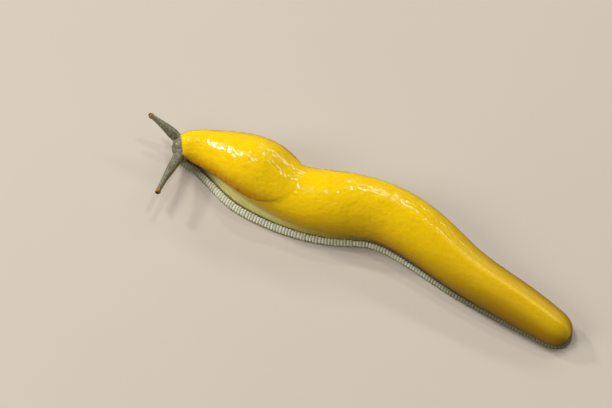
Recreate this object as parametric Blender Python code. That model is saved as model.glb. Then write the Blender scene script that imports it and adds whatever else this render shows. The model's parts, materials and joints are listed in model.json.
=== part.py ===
"""Banana slug, life size, gliding over a floor with its feelers out.

Lengths are in millimetres and every mesh is scaled to metres as it is made. The head looks
towards -Y, the tail towards +Y, the animal's left side is +X and its sole lies on z = 0.
Distances along the body run from the snout along a bent line on the floor, the spine line.
"""

import math

import bmesh
import bpy
import numpy as np
from mathutils import Matrix, Vector

MM = 0.001
GAP = 0.3
SHARP_ANGLE = 50
CUT_MERGE = 0.1
FINE_MERGE = 0.02

# Places along the spine line: x, y, half width of the foot, half width of the flesh above it
# at its widest level, and height of the back.
PLACES = {
    "snout": (7.2, -52.0, 5.0, 4.5, 8.3),
    "neck": (2.8, -46.4, 7.2, 5.2, 9.2),
    "shoulder": (0.6, -37.0, 10.7, 7.5, 11.9),
    "mantle bulge": (0.9, -21.0, 14.8, 10.8, 17.7),
    "behind the mantle": (2.0, -5.0, 13.8, 11.2, 16.4),
    "fore body": (-1.5, 10.8, 13.4, 12.0, 17.9),
    "bend": (-6.4, 25.5, 11.8, 11.3, 17.3),
    "middle": (-6.2, 43.0, 10.9, 10.5, 16.0),
    "hind body": (-1.8, 62.5, 9.2, 8.9, 13.4),
    "tail root": (0.8, 84.0, 7.7, 7.9, 11.6),
    "tail tip": (3.2, 105.0, 5.7, 5.9, 8.2),
}

WIDEST_LEVEL = 0.38
FLANK_TURNS = (0, 25, 50, 75)
BACK_TURN = 9
GROOVE_INSET = 0.25
KEEL_START = 72.0
KEEL_RUN = 30.0
KEEL_RISE = 0.9
KEEL_ANGLE = 13.0

# The foot and the fringe of ribs round it.
FOOT_START = 0.9
FOOT_FRONT_ROUND = 5.0
FOOT_TAIL_ROUND = 7.0
FOOT_END_POWER = 2.2
FRINGE_LEVEL_FRONT = 2.6
FRINGE_LEVEL_TAIL = 1.7
FRINGE_RUN_FRONT = 1.9
FRINGE_RUN_TAIL = 1.0
FRINGE_NARROWS_FROM = 50.0
FRINGE_NARROWS_OVER = 50.0
SOLE_ROUND = 0.35
RIB_PITCH = 1.7
RIB_RISE = 0.32
# Loops from the sole up: share of the fringe's run inwards, share of its height, share of a rib.
FOOT_LOOPS = ((0.0, -0.02, 0.35), (0.0, 0.14, 0.7), (0.42, 0.62, 1.0), (1.0, 1.0, 0.7))

# The flesh above the foot.
NECK_START = 7.0
BODY_END_INSET = 0.3
TAIL_ROUND = 8.0
TAIL_POWER = 2.3
TAIL_TURNS = (15, 30, 45, 60, 75)
TAIL_TIP_RISE = 0.5
RING_STEP = 2.5
CUTS_BODY = {"neck": 26.0, "torso_front": 58.0, "torso_middle": 94.0, "torso_rear": 128.0}
CUTS_FOOT = {"foot_front": 42.0, "foot_middle": 84.0, "foot_rear": 125.0}

# The mantle, a thick shield over the neck and the fore part of the back.
MANTLE_START = 3.5
MANTLE_END = 52.5
MANTLE_FRONT_ROUND = 6.0
MANTLE_FRONT_POWER = 3.0
MANTLE_REAR_ROUND = 17.0
MANTLE_REAR_POWER = 2.0
MANTLE_END_TURNS = (8, 20, 34, 50, 68)
MANTLE_OPENING = 74.0
MANTLE_SIDE = 1.5
MANTLE_TOP = 2.1
MANTLE_EDGE = 0.6
MANTLE_FRONT_THIN = 0.35
MANTLE_THICKENS_OVER = 3.0
MANTLE_REAR_THIN = 0.3
MANTLE_THINS_OVER = 16.0
MANTLE_SPANS_OVER = 10
MANTLE_SPANS_UNDER = 8
# Points round the rim: share of the mantle's thickness, share of the edge's sag.
MANTLE_RIM = ((0.82, 0.7), (0.5, 1.0), (0.18, 0.7))
MANTLE_RIM_FULL = 40.0
MANTLE_MIDDLE = 0.6
BREATHING_PORE_AT = 33.0
BREATHING_PORE = (1.5, 1.2, 0.9)

# The head and what stands on it, each from the head's own place on the spine line.
SNOUT_ROUND = 2.6
SNOUT_POWER = 2.2
SNOUT_LEVEL = 0.45
SNOUT_TURNS = (12, 25, 40, 55, 72, 90)
HEAD_STATIONS = (4.0, 5.4)
EYE_FEELER_ROOTS = {"left": (1.6, 4.3, 6.5), "right": (1.5, 5.2, 7.1)}
EYE_FEELERS = {"left": (10.1, 14.9, 2.0, 0.7), "right": (7.3, 7.7, 4.1, 0.6)}
EYE_FEELER_ROOT_DEPTH = 3.4
EYE_FEELER_ROOT_RADIUS = 1.45
EYE_FEELER_RADII = ((-0.05, 2.0), (0.05, 2.15), (0.16, 1.85), (0.3, 1.55), (0.45, 1.28),
                    (0.6, 1.05), (0.75, 0.9), (0.88, 0.8), (0.95, 0.85))
EYE_FEELER_STUB = 0.13
EYE_FEELER_NECK = 0.95
BULB_RADIUS = 1.12
BULB_SET_BACK = 0.6
EYE_PLANE = 0.72
EYE_RADIUS = 0.66
EYE_LIFT = 0.6
EYE_DOME_FROM = 0.25
LIP_FEELER_ROOT = (1.3, 2.4, 3.9)
LIP_FEELER_REACH = (1.0, 0.9, -1.5)
LIP_FEELER_RADII = ((-0.4, 0.8), (0.0, 0.85), (0.35, 0.72), (0.7, 0.62), (0.9, 0.6))
LIP_FEELER_STUB = 0.32
LIP_FEELER_END = 0.9
LIP_TIP_RADIUS = 0.66
MOUTH_AT = 0.55
MOUTH_HEIGHT = 4.3
MOUTH_DROOP = 0.35
LIP_RING = 1.25
LIP_THICKNESS = 0.5
MOUTH_SLIT = (0.7, 0.28, 1.0)
MOUTH_SLIT_FORWARD = 0.2

# Facets round the drawn parts.
FEELER_SIDES = 12
SMALL_SIDES = 10
BALL_SEGMENTS = 16
BALL_RINGS = 10
EYE_SEGMENTS = 14
FOOT_TRACE = 1600

FLESH_YELLOW = (0.78, 0.52, 0.01)
MANTLE_YELLOW = (0.82, 0.53, 0.01)
HEAD_GREY = (0.20, 0.21, 0.15)
FRINGE_GREY = (0.36, 0.38, 0.26)
EYE_BLACK = (0.02, 0.015, 0.01)


def clear_scene():
    for thing in list(bpy.data.objects):
        bpy.data.objects.remove(thing, do_unlink=True)


def collection(name):
    made = bpy.data.collections.new(name)
    bpy.context.scene.collection.children.link(made)
    return made


def finish(name, colour, roughness):
    material = bpy.data.materials.new(name)
    material.use_nodes = True
    shader = material.node_tree.nodes["Principled BSDF"]
    shader.inputs["Base Color"].default_value = (*colour, 1.0)
    shader.inputs["Roughness"].default_value = roughness
    shader.inputs["Metallic"].default_value = 0.0
    return material


def smooth_through(knots, values):
    """The natural cubic curve through the values at the knots."""
    knots = np.asarray(knots, float)
    values = np.asarray(values, float)
    steps = np.diff(knots)
    last = len(knots) - 1
    matrix = np.eye(last + 1)
    slopes = np.diff(values) / steps
    right = np.zeros(last + 1)
    for i in range(1, last):
        matrix[i, i - 1:i + 2] = steps[i - 1], 2 * (steps[i - 1] + steps[i]), steps[i]
        right[i] = 6 * (slopes[i] - slopes[i - 1])
    bends = np.linalg.solve(matrix, right)

    def at(s):
        i = int(np.clip(np.searchsorted(knots, s) - 1, 0, last - 1))
        a = (knots[i + 1] - s) / steps[i]
        b = (s - knots[i]) / steps[i]
        curve = ((a ** 3 - a) * bends[i] + (b ** 3 - b) * bends[i + 1]) * steps[i] ** 2 / 6
        return float(a * values[i] + b * values[i + 1] + curve)

    return at


def ease(x):
    """Rises smoothly from 0 at x = 0 to 1 at x = 1."""
    x = min(max(x, 0.0), 1.0)
    return x * x * (3 - 2 * x)


def rounding(distance, reach, power=2.0):
    """A round end: 0 at the end itself, 1 from reach inwards."""
    inward = min(max(1 - distance / reach, 0.0), 1.0)
    return (1 - inward ** power) ** (1 / power)


COLUMNS = list(zip(*PLACES.values()))
KNOTS = [0.0]
for one, two in zip(list(PLACES.values()), list(PLACES.values())[1:]):
    KNOTS.append(KNOTS[-1] + math.dist(one[:2], two[:2]))
LENGTH = KNOTS[-1]
spine_x, spine_y, foot_half, flesh_half, back_height = (smooth_through(KNOTS, c) for c in COLUMNS)
FOOT_END = LENGTH + 0.4


def spine(s):
    return Vector((spine_x(s), spine_y(s), 0.0))


def leftward(s):
    """The level direction across the body, towards its left side."""
    step = 0.05
    along = (spine(s + step) - spine(s - step)).normalized()
    return Vector((along.y, -along.x, 0.0))


def body_point(s, x, z):
    """The point at a distance along the body, x to the left of the spine line and z up."""
    return spine(s) + leftward(s) * x + Vector((0.0, 0.0, z))


def fringe_level(y):
    """Height of the groove above the fringe: one plane, a little lower at the tail."""
    first = PLACES["snout"][1]
    last = PLACES["tail tip"][1]
    share = (y - first) / (last - first)
    return FRINGE_LEVEL_FRONT + (FRINGE_LEVEL_TAIL - FRINGE_LEVEL_FRONT) * share


def fringe_run(s):
    """How far in from the foot's edge the groove lies."""
    share = ease((s - FRINGE_NARROWS_FROM) / FRINGE_NARROWS_OVER)
    return FRINGE_RUN_FRONT + (FRINGE_RUN_TAIL - FRINGE_RUN_FRONT) * share


def mesh_object(name, graph, where, material=None):
    """Turns a bmesh in millimetres into an object in metres."""
    graph.normal_update()
    bmesh.ops.scale(graph, vec=(MM, MM, MM), verts=graph.verts)
    mesh = bpy.data.meshes.new(name)
    graph.to_mesh(mesh)
    graph.free()
    made = bpy.data.objects.new(name, mesh)
    where.objects.link(made)
    if material:
        mesh.materials.append(material)
    mesh.shade_smooth()
    mesh.set_sharp_from_angle(angle=math.radians(SHARP_ANGLE))
    return made


def loft(rings, first_tip=None, last_tip=None):
    """Joins rings of equal count into one closed skin; a tip closes an end to a point."""
    graph = bmesh.new()
    made = [[graph.verts.new(point) for point in ring] for ring in rings]
    count = len(made[0])
    for ring, after in zip(made, made[1:]):
        for i in range(count):
            j = (i + 1) % count
            graph.faces.new((ring[i], ring[j], after[j], after[i]))
    for ring, tip in ((made[0], first_tip), (made[-1], last_tip)):
        if tip is None:
            graph.faces.new(ring)
            continue
        point = graph.verts.new(tip)
        for i in range(count):
            graph.faces.new((ring[i], ring[(i + 1) % count], point))
    bmesh.ops.recalc_face_normals(graph, faces=graph.faces)
    return graph


def stations(start, end, step):
    count = max(2, math.ceil((end - start) / step) + 1)
    return [float(s) for s in np.linspace(start, end, count)]


def tail_share(s):
    """How far the section has opened out from the tail's round end."""
    return rounding(LENGTH - BODY_END_INSET - s, TAIL_ROUND, TAIL_POWER)


def flesh_section(s, angle, side=0.0, top=0.0):
    """A point on the upper flesh at s: angle 0 at its widest level, 90 degrees on the back."""
    level = WIDEST_LEVEL * back_height(s)
    keel = KEEL_RISE * ease((s - KEEL_START) / KEEL_RUN)
    ridge = keel * math.exp(-((90 - angle) / KEEL_ANGLE) ** 2)
    rise = back_height(s) + top - level - keel + ridge
    x = (flesh_half(s) + side) * math.cos(math.radians(angle))
    z = level + rise * math.sin(math.radians(angle))
    return x, z


def flesh_ring(s):
    """The whole section of the flesh above the foot: over the back, then the flat underside."""
    groove = foot_half(s) - fringe_run(s) - GROOVE_INSET
    level = WIDEST_LEVEL * back_height(s)
    half = flesh_half(s)
    right, left = [], []
    for side, part in ((1, left), (-1, right)):
        for turn in FLANK_TURNS:
            bulge = math.sin(math.radians(turn))
            place = body_point(s, side * (groove + (half - groove) * bulge), 0)
            floor = fringe_level(place.y) + GAP
            place.z = floor + (level - floor) * (1 - math.cos(math.radians(turn)))
            part.append(place)
        for angle in range(0, 90, BACK_TURN):
            x, z = flesh_section(s, angle)
            part.append(body_point(s, side * x, z))
    crown = body_point(s, 0, flesh_section(s, 90)[1])
    return left + [crown] + right[::-1]


def drawn_in(ring, s, share, level=0.0):
    """Draws a section in towards its middle, or towards a level of its own height, by a share."""
    floor = fringe_level(spine_y(s)) + GAP
    middle = body_point(s, 0, floor + (back_height(s) - floor) * level)
    return [middle + (point - middle) * share for point in ring]


def make_flesh(where, material):
    """The neck, torso and tail: one loft, in lengths with a thin gap between them."""
    starts = [NECK_START] + [cut + GAP / 2 for cut in CUTS_BODY.values()]
    ends = [cut - GAP / 2 for cut in CUTS_BODY.values()] + [LENGTH - BODY_END_INSET]
    for name, start, end in zip([*CUTS_BODY, "tail"], starts, ends):
        if name == "tail":
            straight = stations(start, end - TAIL_ROUND, RING_STEP)
            curved = [end - TAIL_ROUND * math.cos(math.radians(turn)) for turn in TAIL_TURNS]
            rings = [drawn_in(flesh_ring(s), s, tail_share(s)) for s in straight + curved]
            tip = body_point(end, 0, fringe_level(spine_y(end)) + GAP + TAIL_TIP_RISE)
            mesh_object(name, loft(rings, last_tip=tip), where, material)
        else:
            rings = [flesh_ring(s) for s in stations(start, end, RING_STEP)]
            mesh_object(name, loft(rings), where, material)


def foot_outline():
    """The foot's edge on the floor, evenly stepped, with the outward direction at each point."""
    sides = []
    for side in (1, -1):
        dense = []
        for i in range(FOOT_TRACE + 1):
            turn = math.pi * i / FOOT_TRACE
            s = FOOT_START + (FOOT_END - FOOT_START) * (1 - math.cos(turn)) / 2
            front = rounding(s - FOOT_START, FOOT_FRONT_ROUND, FOOT_END_POWER)
            rear = rounding(FOOT_END - s, FOOT_TAIL_ROUND, FOOT_END_POWER)
            dense.append((s, body_point(s, side * foot_half(s) * front * rear, 0)))
        sides.append(dense)
    edge = sides[0] + sides[1][::-1][1:-1]
    lengths = [0.0]
    for (_, a), (_, b) in zip(edge, edge[1:] + edge[:1]):
        lengths.append(lengths[-1] + (b - a).length)
    ribs = round(lengths[-1] / RIB_PITCH)
    wanted = np.linspace(0, lengths[-1], 2 * ribs, endpoint=False)
    closed = edge + edge[:1]
    s_at = np.interp(wanted, lengths, [s for s, _ in closed])
    x_at = np.interp(wanted, lengths, [p.x for _, p in closed])
    y_at = np.interp(wanted, lengths, [p.y for _, p in closed])
    points = [Vector((x, y, 0.0)) for x, y in zip(x_at, y_at)]
    outline = []
    for i, point in enumerate(points):
        along = (points[(i + 1) % len(points)] - points[i - 1]).normalized()
        outline.append((s_at[i], point, Vector((along.y, -along.x, 0.0))))
    if (outline[0][2]).dot(points[0] - spine(LENGTH / 2)) < 0:
        outline = [(s, point, -out) for s, point, out in outline]
    return outline


def foot_loops():
    """Loops from the sole up to the groove; every other point stands out as a rib."""
    outline = foot_outline()
    loops = []
    for inward, up, rib in FOOT_LOOPS:
        loop = []
        for i, (s, point, out) in enumerate(outline):
            run = fringe_run(s)
            raised = (RIB_RISE if i % 2 else 0.0) * rib
            sole = SOLE_ROUND if up < 0 else 0.0
            shift = -run * inward - sole - RIB_RISE * rib + raised
            place = point + out * shift
            place.z = 0.0 if up < 0 else fringe_level(place.y) * up
            loop.append(place)
        loops.append(loop)
    return loops


def make_foot(where, material):
    """The whole foot as one lofted slab, then cut across into its lengths."""
    whole = loft(foot_loops())
    starts = [None] + list(CUTS_FOOT.values())
    ends = list(CUTS_FOOT.values()) + [None]
    for name, start, end in zip([*CUTS_FOOT, "foot_tail"], starts, ends):
        piece = whole.copy()
        for cut, sign in ((start, 1), (end, -1)):
            if cut is None:
                continue
            across = leftward(cut)
            along = Vector((-across.y, across.x, 0.0)) * sign
            cut_plane(piece, spine(cut) + along * GAP / 2, -along)
        mesh_object(name, piece, where, material)
    whole.free()


def cut_plane(graph, point, normal, merge=CUT_MERGE):
    """Takes away what lies on the normal's side of the plane and closes the cut."""
    everything = graph.verts[:] + graph.edges[:] + graph.faces[:]
    cut = bmesh.ops.bisect_plane(graph, geom=everything, plane_co=point, plane_no=normal, dist=1e-5,
                                 clear_outer=True)
    edges = [item for item in cut["geom_cut"] if isinstance(item, bmesh.types.BMEdge)]
    bmesh.ops.contextual_create(graph, geom=edges)
    bmesh.ops.remove_doubles(graph, verts=graph.verts, dist=merge)
    bmesh.ops.recalc_face_normals(graph, faces=graph.faces)


def mantle_opening(s):
    """Angle from the back down to the mantle's edge, zero at its front and rear ends."""
    front = rounding(s - MANTLE_START, MANTLE_FRONT_ROUND, MANTLE_FRONT_POWER)
    rear = rounding(MANTLE_END - s, MANTLE_REAR_ROUND, MANTLE_REAR_POWER)
    return MANTLE_OPENING * front * rear


def mantle_point(s, angle, share):
    """A point of the mantle: angle from the back, share 0 on its inner face and 1 on its outer."""
    opened = rounding(s - MANTLE_START, MANTLE_THICKENS_OVER)
    front = MANTLE_FRONT_THIN + (1 - MANTLE_FRONT_THIN) * opened
    rear = MANTLE_REAR_THIN + (1 - MANTLE_REAR_THIN) * ease((MANTLE_END - s) / MANTLE_THINS_OVER)
    side = GAP + share * MANTLE_SIDE * front * rear
    top = GAP + share * MANTLE_TOP * front * rear
    x, z = flesh_section(s, 90 - abs(angle), side, top)
    return body_point(s, math.copysign(x, angle), z)


def mantle_ring(s):
    """Over the outer face, round the right edge, back along the inner face, round the left."""
    opening = mantle_opening(s)
    outer, inner = MANTLE_SPANS_OVER, MANTLE_SPANS_UNDER
    turns = [math.sin(math.pi / 2 * i / outer) for i in range(-outer, outer + 1)]
    over = [mantle_point(s, opening * turn, 1.0) for turn in turns]
    under = [mantle_point(s, opening * i / inner, 0.0) for i in range(-inner, inner + 1)]
    sag = min(1.0, opening / MANTLE_RIM_FULL) * MANTLE_EDGE
    edges = []
    for side in (1, -1):
        run = []
        for share, drop in MANTLE_RIM:
            point = mantle_point(s, side * opening, share)
            point.z -= sag * drop
            run.append(point)
        edges.append(run)
    left_edge, right_edge = edges
    return over + left_edge + under[::-1] + right_edge[::-1]


def make_mantle(where, cutters, material):
    """The shield as a thin shell over the flesh, with the breathing pore cut in its right edge."""
    turns = [math.radians(turn) for turn in MANTLE_END_TURNS]
    front = [MANTLE_START + MANTLE_FRONT_ROUND * (1 - math.cos(t)) for t in turns]
    rear = [MANTLE_END - MANTLE_REAR_ROUND * (1 - math.cos(t)) for t in turns]
    middle = stations(MANTLE_START + MANTLE_FRONT_ROUND, MANTLE_END - MANTLE_REAR_ROUND, RING_STEP)
    rings = [mantle_ring(s) for s in front + middle + rear[::-1]]
    first = mantle_point(MANTLE_START, 0.0, MANTLE_MIDDLE)
    last = mantle_point(MANTLE_END, 0.0, MANTLE_MIDDLE)
    mantle = mesh_object("mantle", loft(rings, first, last), where, material)
    pore = bmesh.new()
    bmesh.ops.create_uvsphere(pore, u_segments=BALL_SEGMENTS, v_segments=BALL_RINGS, radius=1.0)
    bmesh.ops.scale(pore, vec=Vector(BREATHING_PORE), verts=pore.verts)
    edge = mantle_point(BREATHING_PORE_AT, -mantle_opening(BREATHING_PORE_AT), MANTLE_MIDDLE)
    bmesh.ops.translate(pore, vec=edge, verts=pore.verts)
    pore_cutter = mesh_object("pore_cutter", pore, cutters)
    cut_with(mantle, pore_cutter, "DIFFERENCE")


def apply_modifiers(thing):
    """Bakes an object's modifiers into its mesh."""
    graph = bpy.context.evaluated_depsgraph_get()
    mesh = bpy.data.meshes.new_from_object(thing.evaluated_get(graph))
    old = thing.data
    thing.modifiers.clear()
    thing.data = mesh
    bpy.data.meshes.remove(old)


def cut_with(thing, other, how):
    """Joins or cuts a thing with another, which stays as a wire guide only if it cuts."""
    change = thing.modifiers.new("shape", "BOOLEAN")
    change.operation = how
    change.solver = "EXACT"
    change.object = other
    other.hide_render = True
    other.display_type = "WIRE"
    bpy.context.view_layer.update()
    apply_modifiers(thing)
    if how == "UNION":
        bpy.data.objects.remove(other, do_unlink=True)


def keep_largest(thing):
    """Keeps the one closed surface that holds the most of the shape."""
    graph = bmesh.new()
    graph.from_mesh(thing.data)
    left = set(graph.faces)
    groups = []
    while left:
        grown = [left.pop()]
        group = set(grown)
        while grown:
            face = grown.pop()
            for edge in face.edges:
                for other in edge.link_faces:
                    if other in left:
                        left.discard(other)
                        group.add(other)
                        grown.append(other)
        groups.append(group)
    groups.sort(key=len)
    loose = [face for group in groups[:-1] for face in group]
    bmesh.ops.delete(graph, geom=loose, context="FACES")
    graph.to_mesh(thing.data)
    graph.free()


def tube(name, points, radii, where, material=None, sides=FEELER_SIDES):
    """A tapering tube along a few points, as one closed mesh."""
    curve = bpy.data.curves.new(name, "CURVE")
    curve.dimensions = "3D"
    curve.bevel_depth = 1.0 * MM
    curve.bevel_resolution = sides // 2 - 2
    curve.use_fill_caps = True
    line = curve.splines.new("POLY")
    line.points.add(len(points) - 1)
    for knot, point, radius in zip(line.points, points, radii):
        knot.co = (*(point * MM), 1.0)
        knot.radius = radius
    guide = bpy.data.objects.new(name, curve)
    where.objects.link(guide)
    bpy.context.view_layer.update()
    graph = bpy.context.evaluated_depsgraph_get()
    mesh = bpy.data.meshes.new_from_object(guide.evaluated_get(graph))
    bpy.data.objects.remove(guide, do_unlink=True)
    work = bmesh.new()
    work.from_mesh(mesh)
    bmesh.ops.remove_doubles(work, verts=work.verts, dist=FINE_MERGE * MM)
    bmesh.ops.recalc_face_normals(work, faces=work.faces)
    work.to_mesh(mesh)
    work.free()
    mesh.materials.clear()
    if material:
        mesh.materials.append(material)
    mesh.shade_smooth()
    made = bpy.data.objects.new(name, mesh)
    where.objects.link(made)
    return made


def ball(name, centre, radius, turn, segments, where, material=None, cut_at=None):
    """A ball, or the dome of it beyond a plane across its own axis."""
    graph = bmesh.new()
    bmesh.ops.create_uvsphere(graph, u_segments=segments, v_segments=BALL_RINGS, radius=radius)
    if cut_at is not None:
        cut_plane(graph, Vector((0, 0, cut_at)), Vector((0, 0, -1)))
    bmesh.ops.rotate(graph, matrix=turn, verts=graph.verts)
    bmesh.ops.translate(graph, vec=centre, verts=graph.verts)
    return mesh_object(name, graph, where, material)


def feeler_path(root, reach, bow, share):
    """A point along a feeler that bows a little upwards between its root and its tip."""
    lift = bow * math.sin(math.pi * min(max(share, 0.0), 1.0))
    return root + reach * share + Vector((0.0, 0.0, lift))


def turned(root, forward, side, up, hand):
    """A direction given ahead of, beside and above the head, in the model's own axes."""
    across = leftward(root)
    ahead = Vector((across.y, -across.x, 0.0))
    return ahead * forward + across * side * hand + Vector((0.0, 0.0, up))


def radius_at(table, share):
    return float(np.interp(share, [a for a, _ in table], [r for _, r in table]))


def feeler_run(root, reach, bow, table, start, end, count):
    """Points and radii of a feeler between two shares of its length."""
    shares = np.linspace(start, end, count)
    points = [feeler_path(root, reach, bow, share) for share in shares]
    return points, [radius_at(table, share) for share in shares]


def head_ring(s):
    """The head's section: the neck's own, drawn in to the blunt snout."""
    return drawn_in(flesh_ring(s), s, rounding(s, SNOUT_ROUND, SNOUT_POWER), SNOUT_LEVEL)


def make_eye_feeler(hand, side, where, cutters, grey, black):
    """A long feeler with the bulb at its tip and the eye on that; gives back its root stub."""
    s, x, z = EYE_FEELER_ROOTS[hand]
    root = body_point(s, side * x, z)
    forward, out, rise, bow = EYE_FEELERS[hand]
    reach = turned(s, forward, out, rise, side)
    deep = -EYE_FEELER_ROOT_DEPTH / reach.length
    table = ((deep, EYE_FEELER_ROOT_RADIUS),) + EYE_FEELER_RADII
    points, radii = feeler_run(root, reach, bow, table, deep, EYE_FEELER_STUB, 8)
    stub = tube("root", points, radii, cutters)
    start = EYE_FEELER_STUB + GAP / reach.length
    points, radii = feeler_run(root, reach, bow, table, start, EYE_FEELER_NECK, 13)
    feeler = tube("eye_tentacle_" + hand, points, radii, where, grey)
    tip = feeler_path(root, reach, bow, 1.0)
    axis = (tip - feeler_path(root, reach, bow, EYE_FEELER_NECK)).normalized()
    gaze = (axis + Vector((0.0, 0.0, EYE_LIFT))).normalized()
    turn = gaze.to_track_quat("Z", "Y").to_matrix()
    centre = tip - axis * BULB_RADIUS * BULB_SET_BACK
    bulb = ball("bulb", centre, BULB_RADIUS, turn, BALL_SEGMENTS, cutters)
    cut_with(feeler, bulb, "UNION")
    flatten_beyond(feeler, centre + gaze * EYE_PLANE, gaze)
    eye_centre = centre + gaze * (EYE_PLANE + GAP - EYE_DOME_FROM)
    name = "eye_" + hand
    ball(name, eye_centre, EYE_RADIUS, turn, EYE_SEGMENTS, where, black, EYE_DOME_FROM)
    return stub


def make_lip_feeler(hand, side, where, cutters, grey):
    """A short lower feeler with a round tip; gives back its root stub."""
    s, x, z = LIP_FEELER_ROOT
    root = body_point(s, side * x, z)
    reach = turned(s, *LIP_FEELER_REACH, side)
    deep = LIP_FEELER_RADII[0][0]
    points, radii = feeler_run(root, reach, 0.0, LIP_FEELER_RADII, deep, LIP_FEELER_STUB, 4)
    stub = tube("root", points, radii, cutters, sides=SMALL_SIDES)
    start = LIP_FEELER_STUB + GAP / reach.length
    points, radii = feeler_run(root, reach, 0.0, LIP_FEELER_RADII, start, LIP_FEELER_END, 4)
    feeler = tube("lip_tentacle_" + hand, points, radii, where, grey, sides=SMALL_SIDES)
    turn = reach.normalized().to_track_quat("Z", "Y").to_matrix()
    tip = ball("tip", root + reach * LIP_FEELER_END, LIP_TIP_RADIUS, turn, SMALL_SIDES, cutters)
    cut_with(feeler, tip, "UNION")
    return stub


def make_head(where, cutters, grey, black):
    """The head with its mouth and the roots of its four feelers, then the feelers and eyes."""
    curved = [SNOUT_ROUND * (1 - math.cos(math.radians(turn))) for turn in SNOUT_TURNS]
    rings = [head_ring(s) for s in (*curved, *HEAD_STATIONS, NECK_START - GAP)]
    tip = drawn_in([spine(0.0)], 0.0, 0.0, SNOUT_LEVEL)[0]
    head = mesh_object("head", loft(rings, first_tip=tip), where, grey)
    for hand, side in (("left", 1), ("right", -1)):
        cut_with(head, make_eye_feeler(hand, side, where, cutters, grey, black), "UNION")
        cut_with(head, make_lip_feeler(hand, side, where, cutters, grey), "UNION")
    add_mouth(head, cutters)
    keep_largest(head)


def flatten_beyond(thing, point, normal):
    """Cuts an object's mesh flat across, with nothing left beyond the plane."""
    work = bmesh.new()
    work.from_mesh(thing.data)
    cut_plane(work, point * MM, normal, FINE_MERGE * MM)
    work.to_mesh(thing.data)
    work.free()


def add_mouth(head, cutters):
    """A ring of lips low on the snout with the mouth's slit inside it."""
    ahead = turned(0.0, 1.0, 0.0, 0.0, 1)
    facing = (ahead + Vector((0.0, 0.0, -MOUTH_DROOP))).normalized()
    turn = facing.to_track_quat("Z", "Y").to_matrix()
    centre = body_point(MOUTH_AT, 0, MOUTH_HEIGHT)
    ring, thick = LIP_RING * MM, LIP_THICKNESS * MM
    bpy.ops.mesh.primitive_torus_add(major_segments=20, minor_segments=8, major_radius=ring,
                                     minor_radius=thick)
    lips = bpy.context.object
    for owner in list(lips.users_collection):
        owner.objects.unlink(lips)
    cutters.objects.link(lips)
    lips.matrix_world = Matrix.Translation(centre * MM) @ turn.to_4x4()
    bpy.context.view_layer.update()
    lips.data.transform(lips.matrix_world)
    lips.matrix_world = Matrix.Identity(4)
    bpy.context.view_layer.update()
    cut_with(head, lips, "UNION")
    slit = bmesh.new()
    bmesh.ops.create_uvsphere(slit, u_segments=EYE_SEGMENTS, v_segments=BALL_RINGS, radius=1.0)
    bmesh.ops.scale(slit, vec=Vector(MOUTH_SLIT), verts=slit.verts)
    bmesh.ops.rotate(slit, matrix=turn, verts=slit.verts)
    bmesh.ops.translate(slit, vec=centre + facing * MOUTH_SLIT_FORWARD, verts=slit.verts)
    slit_cutter = mesh_object("mouth_cutter", slit, cutters)
    cut_with(head, slit_cutter, "DIFFERENCE")


def build():
    clear_scene()
    parts = collection("banana_slug")
    cutters = collection("cutters")
    yellow = finish("body_yellow", FLESH_YELLOW, 0.3)
    golden = finish("mantle_yellow", MANTLE_YELLOW, 0.25)
    grey = finish("head_grey", HEAD_GREY, 0.4)
    fringe = finish("fringe_grey", FRINGE_GREY, 0.4)
    black = finish("eye_black", EYE_BLACK, 0.1)
    make_flesh(parts, yellow)
    make_foot(parts, fringe)
    make_mantle(parts, cutters, golden)
    make_head(parts, cutters, grey, black)


build()
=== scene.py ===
# %% [markdown]
# This lesson dresses a life-size model of a banana slug. The solids are loaded here as a fixed
# frame, so that every piece has its place. One skin takes the place of all the flesh, because a
# living slug shows no seam between its neck, trunk and tail.

# %% Loading the frame
import json
import math

import bmesh
import bpy
import numpy as np
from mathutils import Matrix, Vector

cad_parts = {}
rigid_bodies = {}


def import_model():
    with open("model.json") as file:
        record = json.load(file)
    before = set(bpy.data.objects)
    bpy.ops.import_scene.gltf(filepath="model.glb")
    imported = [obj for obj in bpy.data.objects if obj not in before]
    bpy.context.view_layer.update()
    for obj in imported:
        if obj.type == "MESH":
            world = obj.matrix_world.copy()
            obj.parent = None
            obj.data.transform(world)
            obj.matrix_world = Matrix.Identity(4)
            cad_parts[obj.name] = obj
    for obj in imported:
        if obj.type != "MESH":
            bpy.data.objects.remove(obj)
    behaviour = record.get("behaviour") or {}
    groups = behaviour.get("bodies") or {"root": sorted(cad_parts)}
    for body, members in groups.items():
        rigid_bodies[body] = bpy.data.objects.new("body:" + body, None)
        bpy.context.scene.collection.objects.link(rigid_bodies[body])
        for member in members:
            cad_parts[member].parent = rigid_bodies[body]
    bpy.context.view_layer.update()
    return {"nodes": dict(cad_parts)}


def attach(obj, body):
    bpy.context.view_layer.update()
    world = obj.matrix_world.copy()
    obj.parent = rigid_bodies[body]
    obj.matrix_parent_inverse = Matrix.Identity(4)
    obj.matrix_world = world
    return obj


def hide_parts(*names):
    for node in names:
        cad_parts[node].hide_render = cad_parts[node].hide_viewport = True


for thing in list(bpy.data.objects):
    bpy.data.objects.remove(thing, do_unlink=True)
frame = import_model()
MM = 0.001


def in_scene(name, data):
    """A new object in the scene that shows a mesh, a light or a camera."""
    made = bpy.data.objects.new(name, data)
    bpy.context.scene.collection.objects.link(made)
    return made


# %% [markdown]
# The camera comes first. It stands to the left of the animal and well above it, and looks at
# the middle of the body. A long lens keeps the tail from shrinking, as in a close photograph
# taken from arm's length.

# %% The camera
VIEW_TURN = 120.2
VIEW_HEIGHT = 58.0
VIEW_DISTANCE = 0.5202
LENS = 85.0

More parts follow.
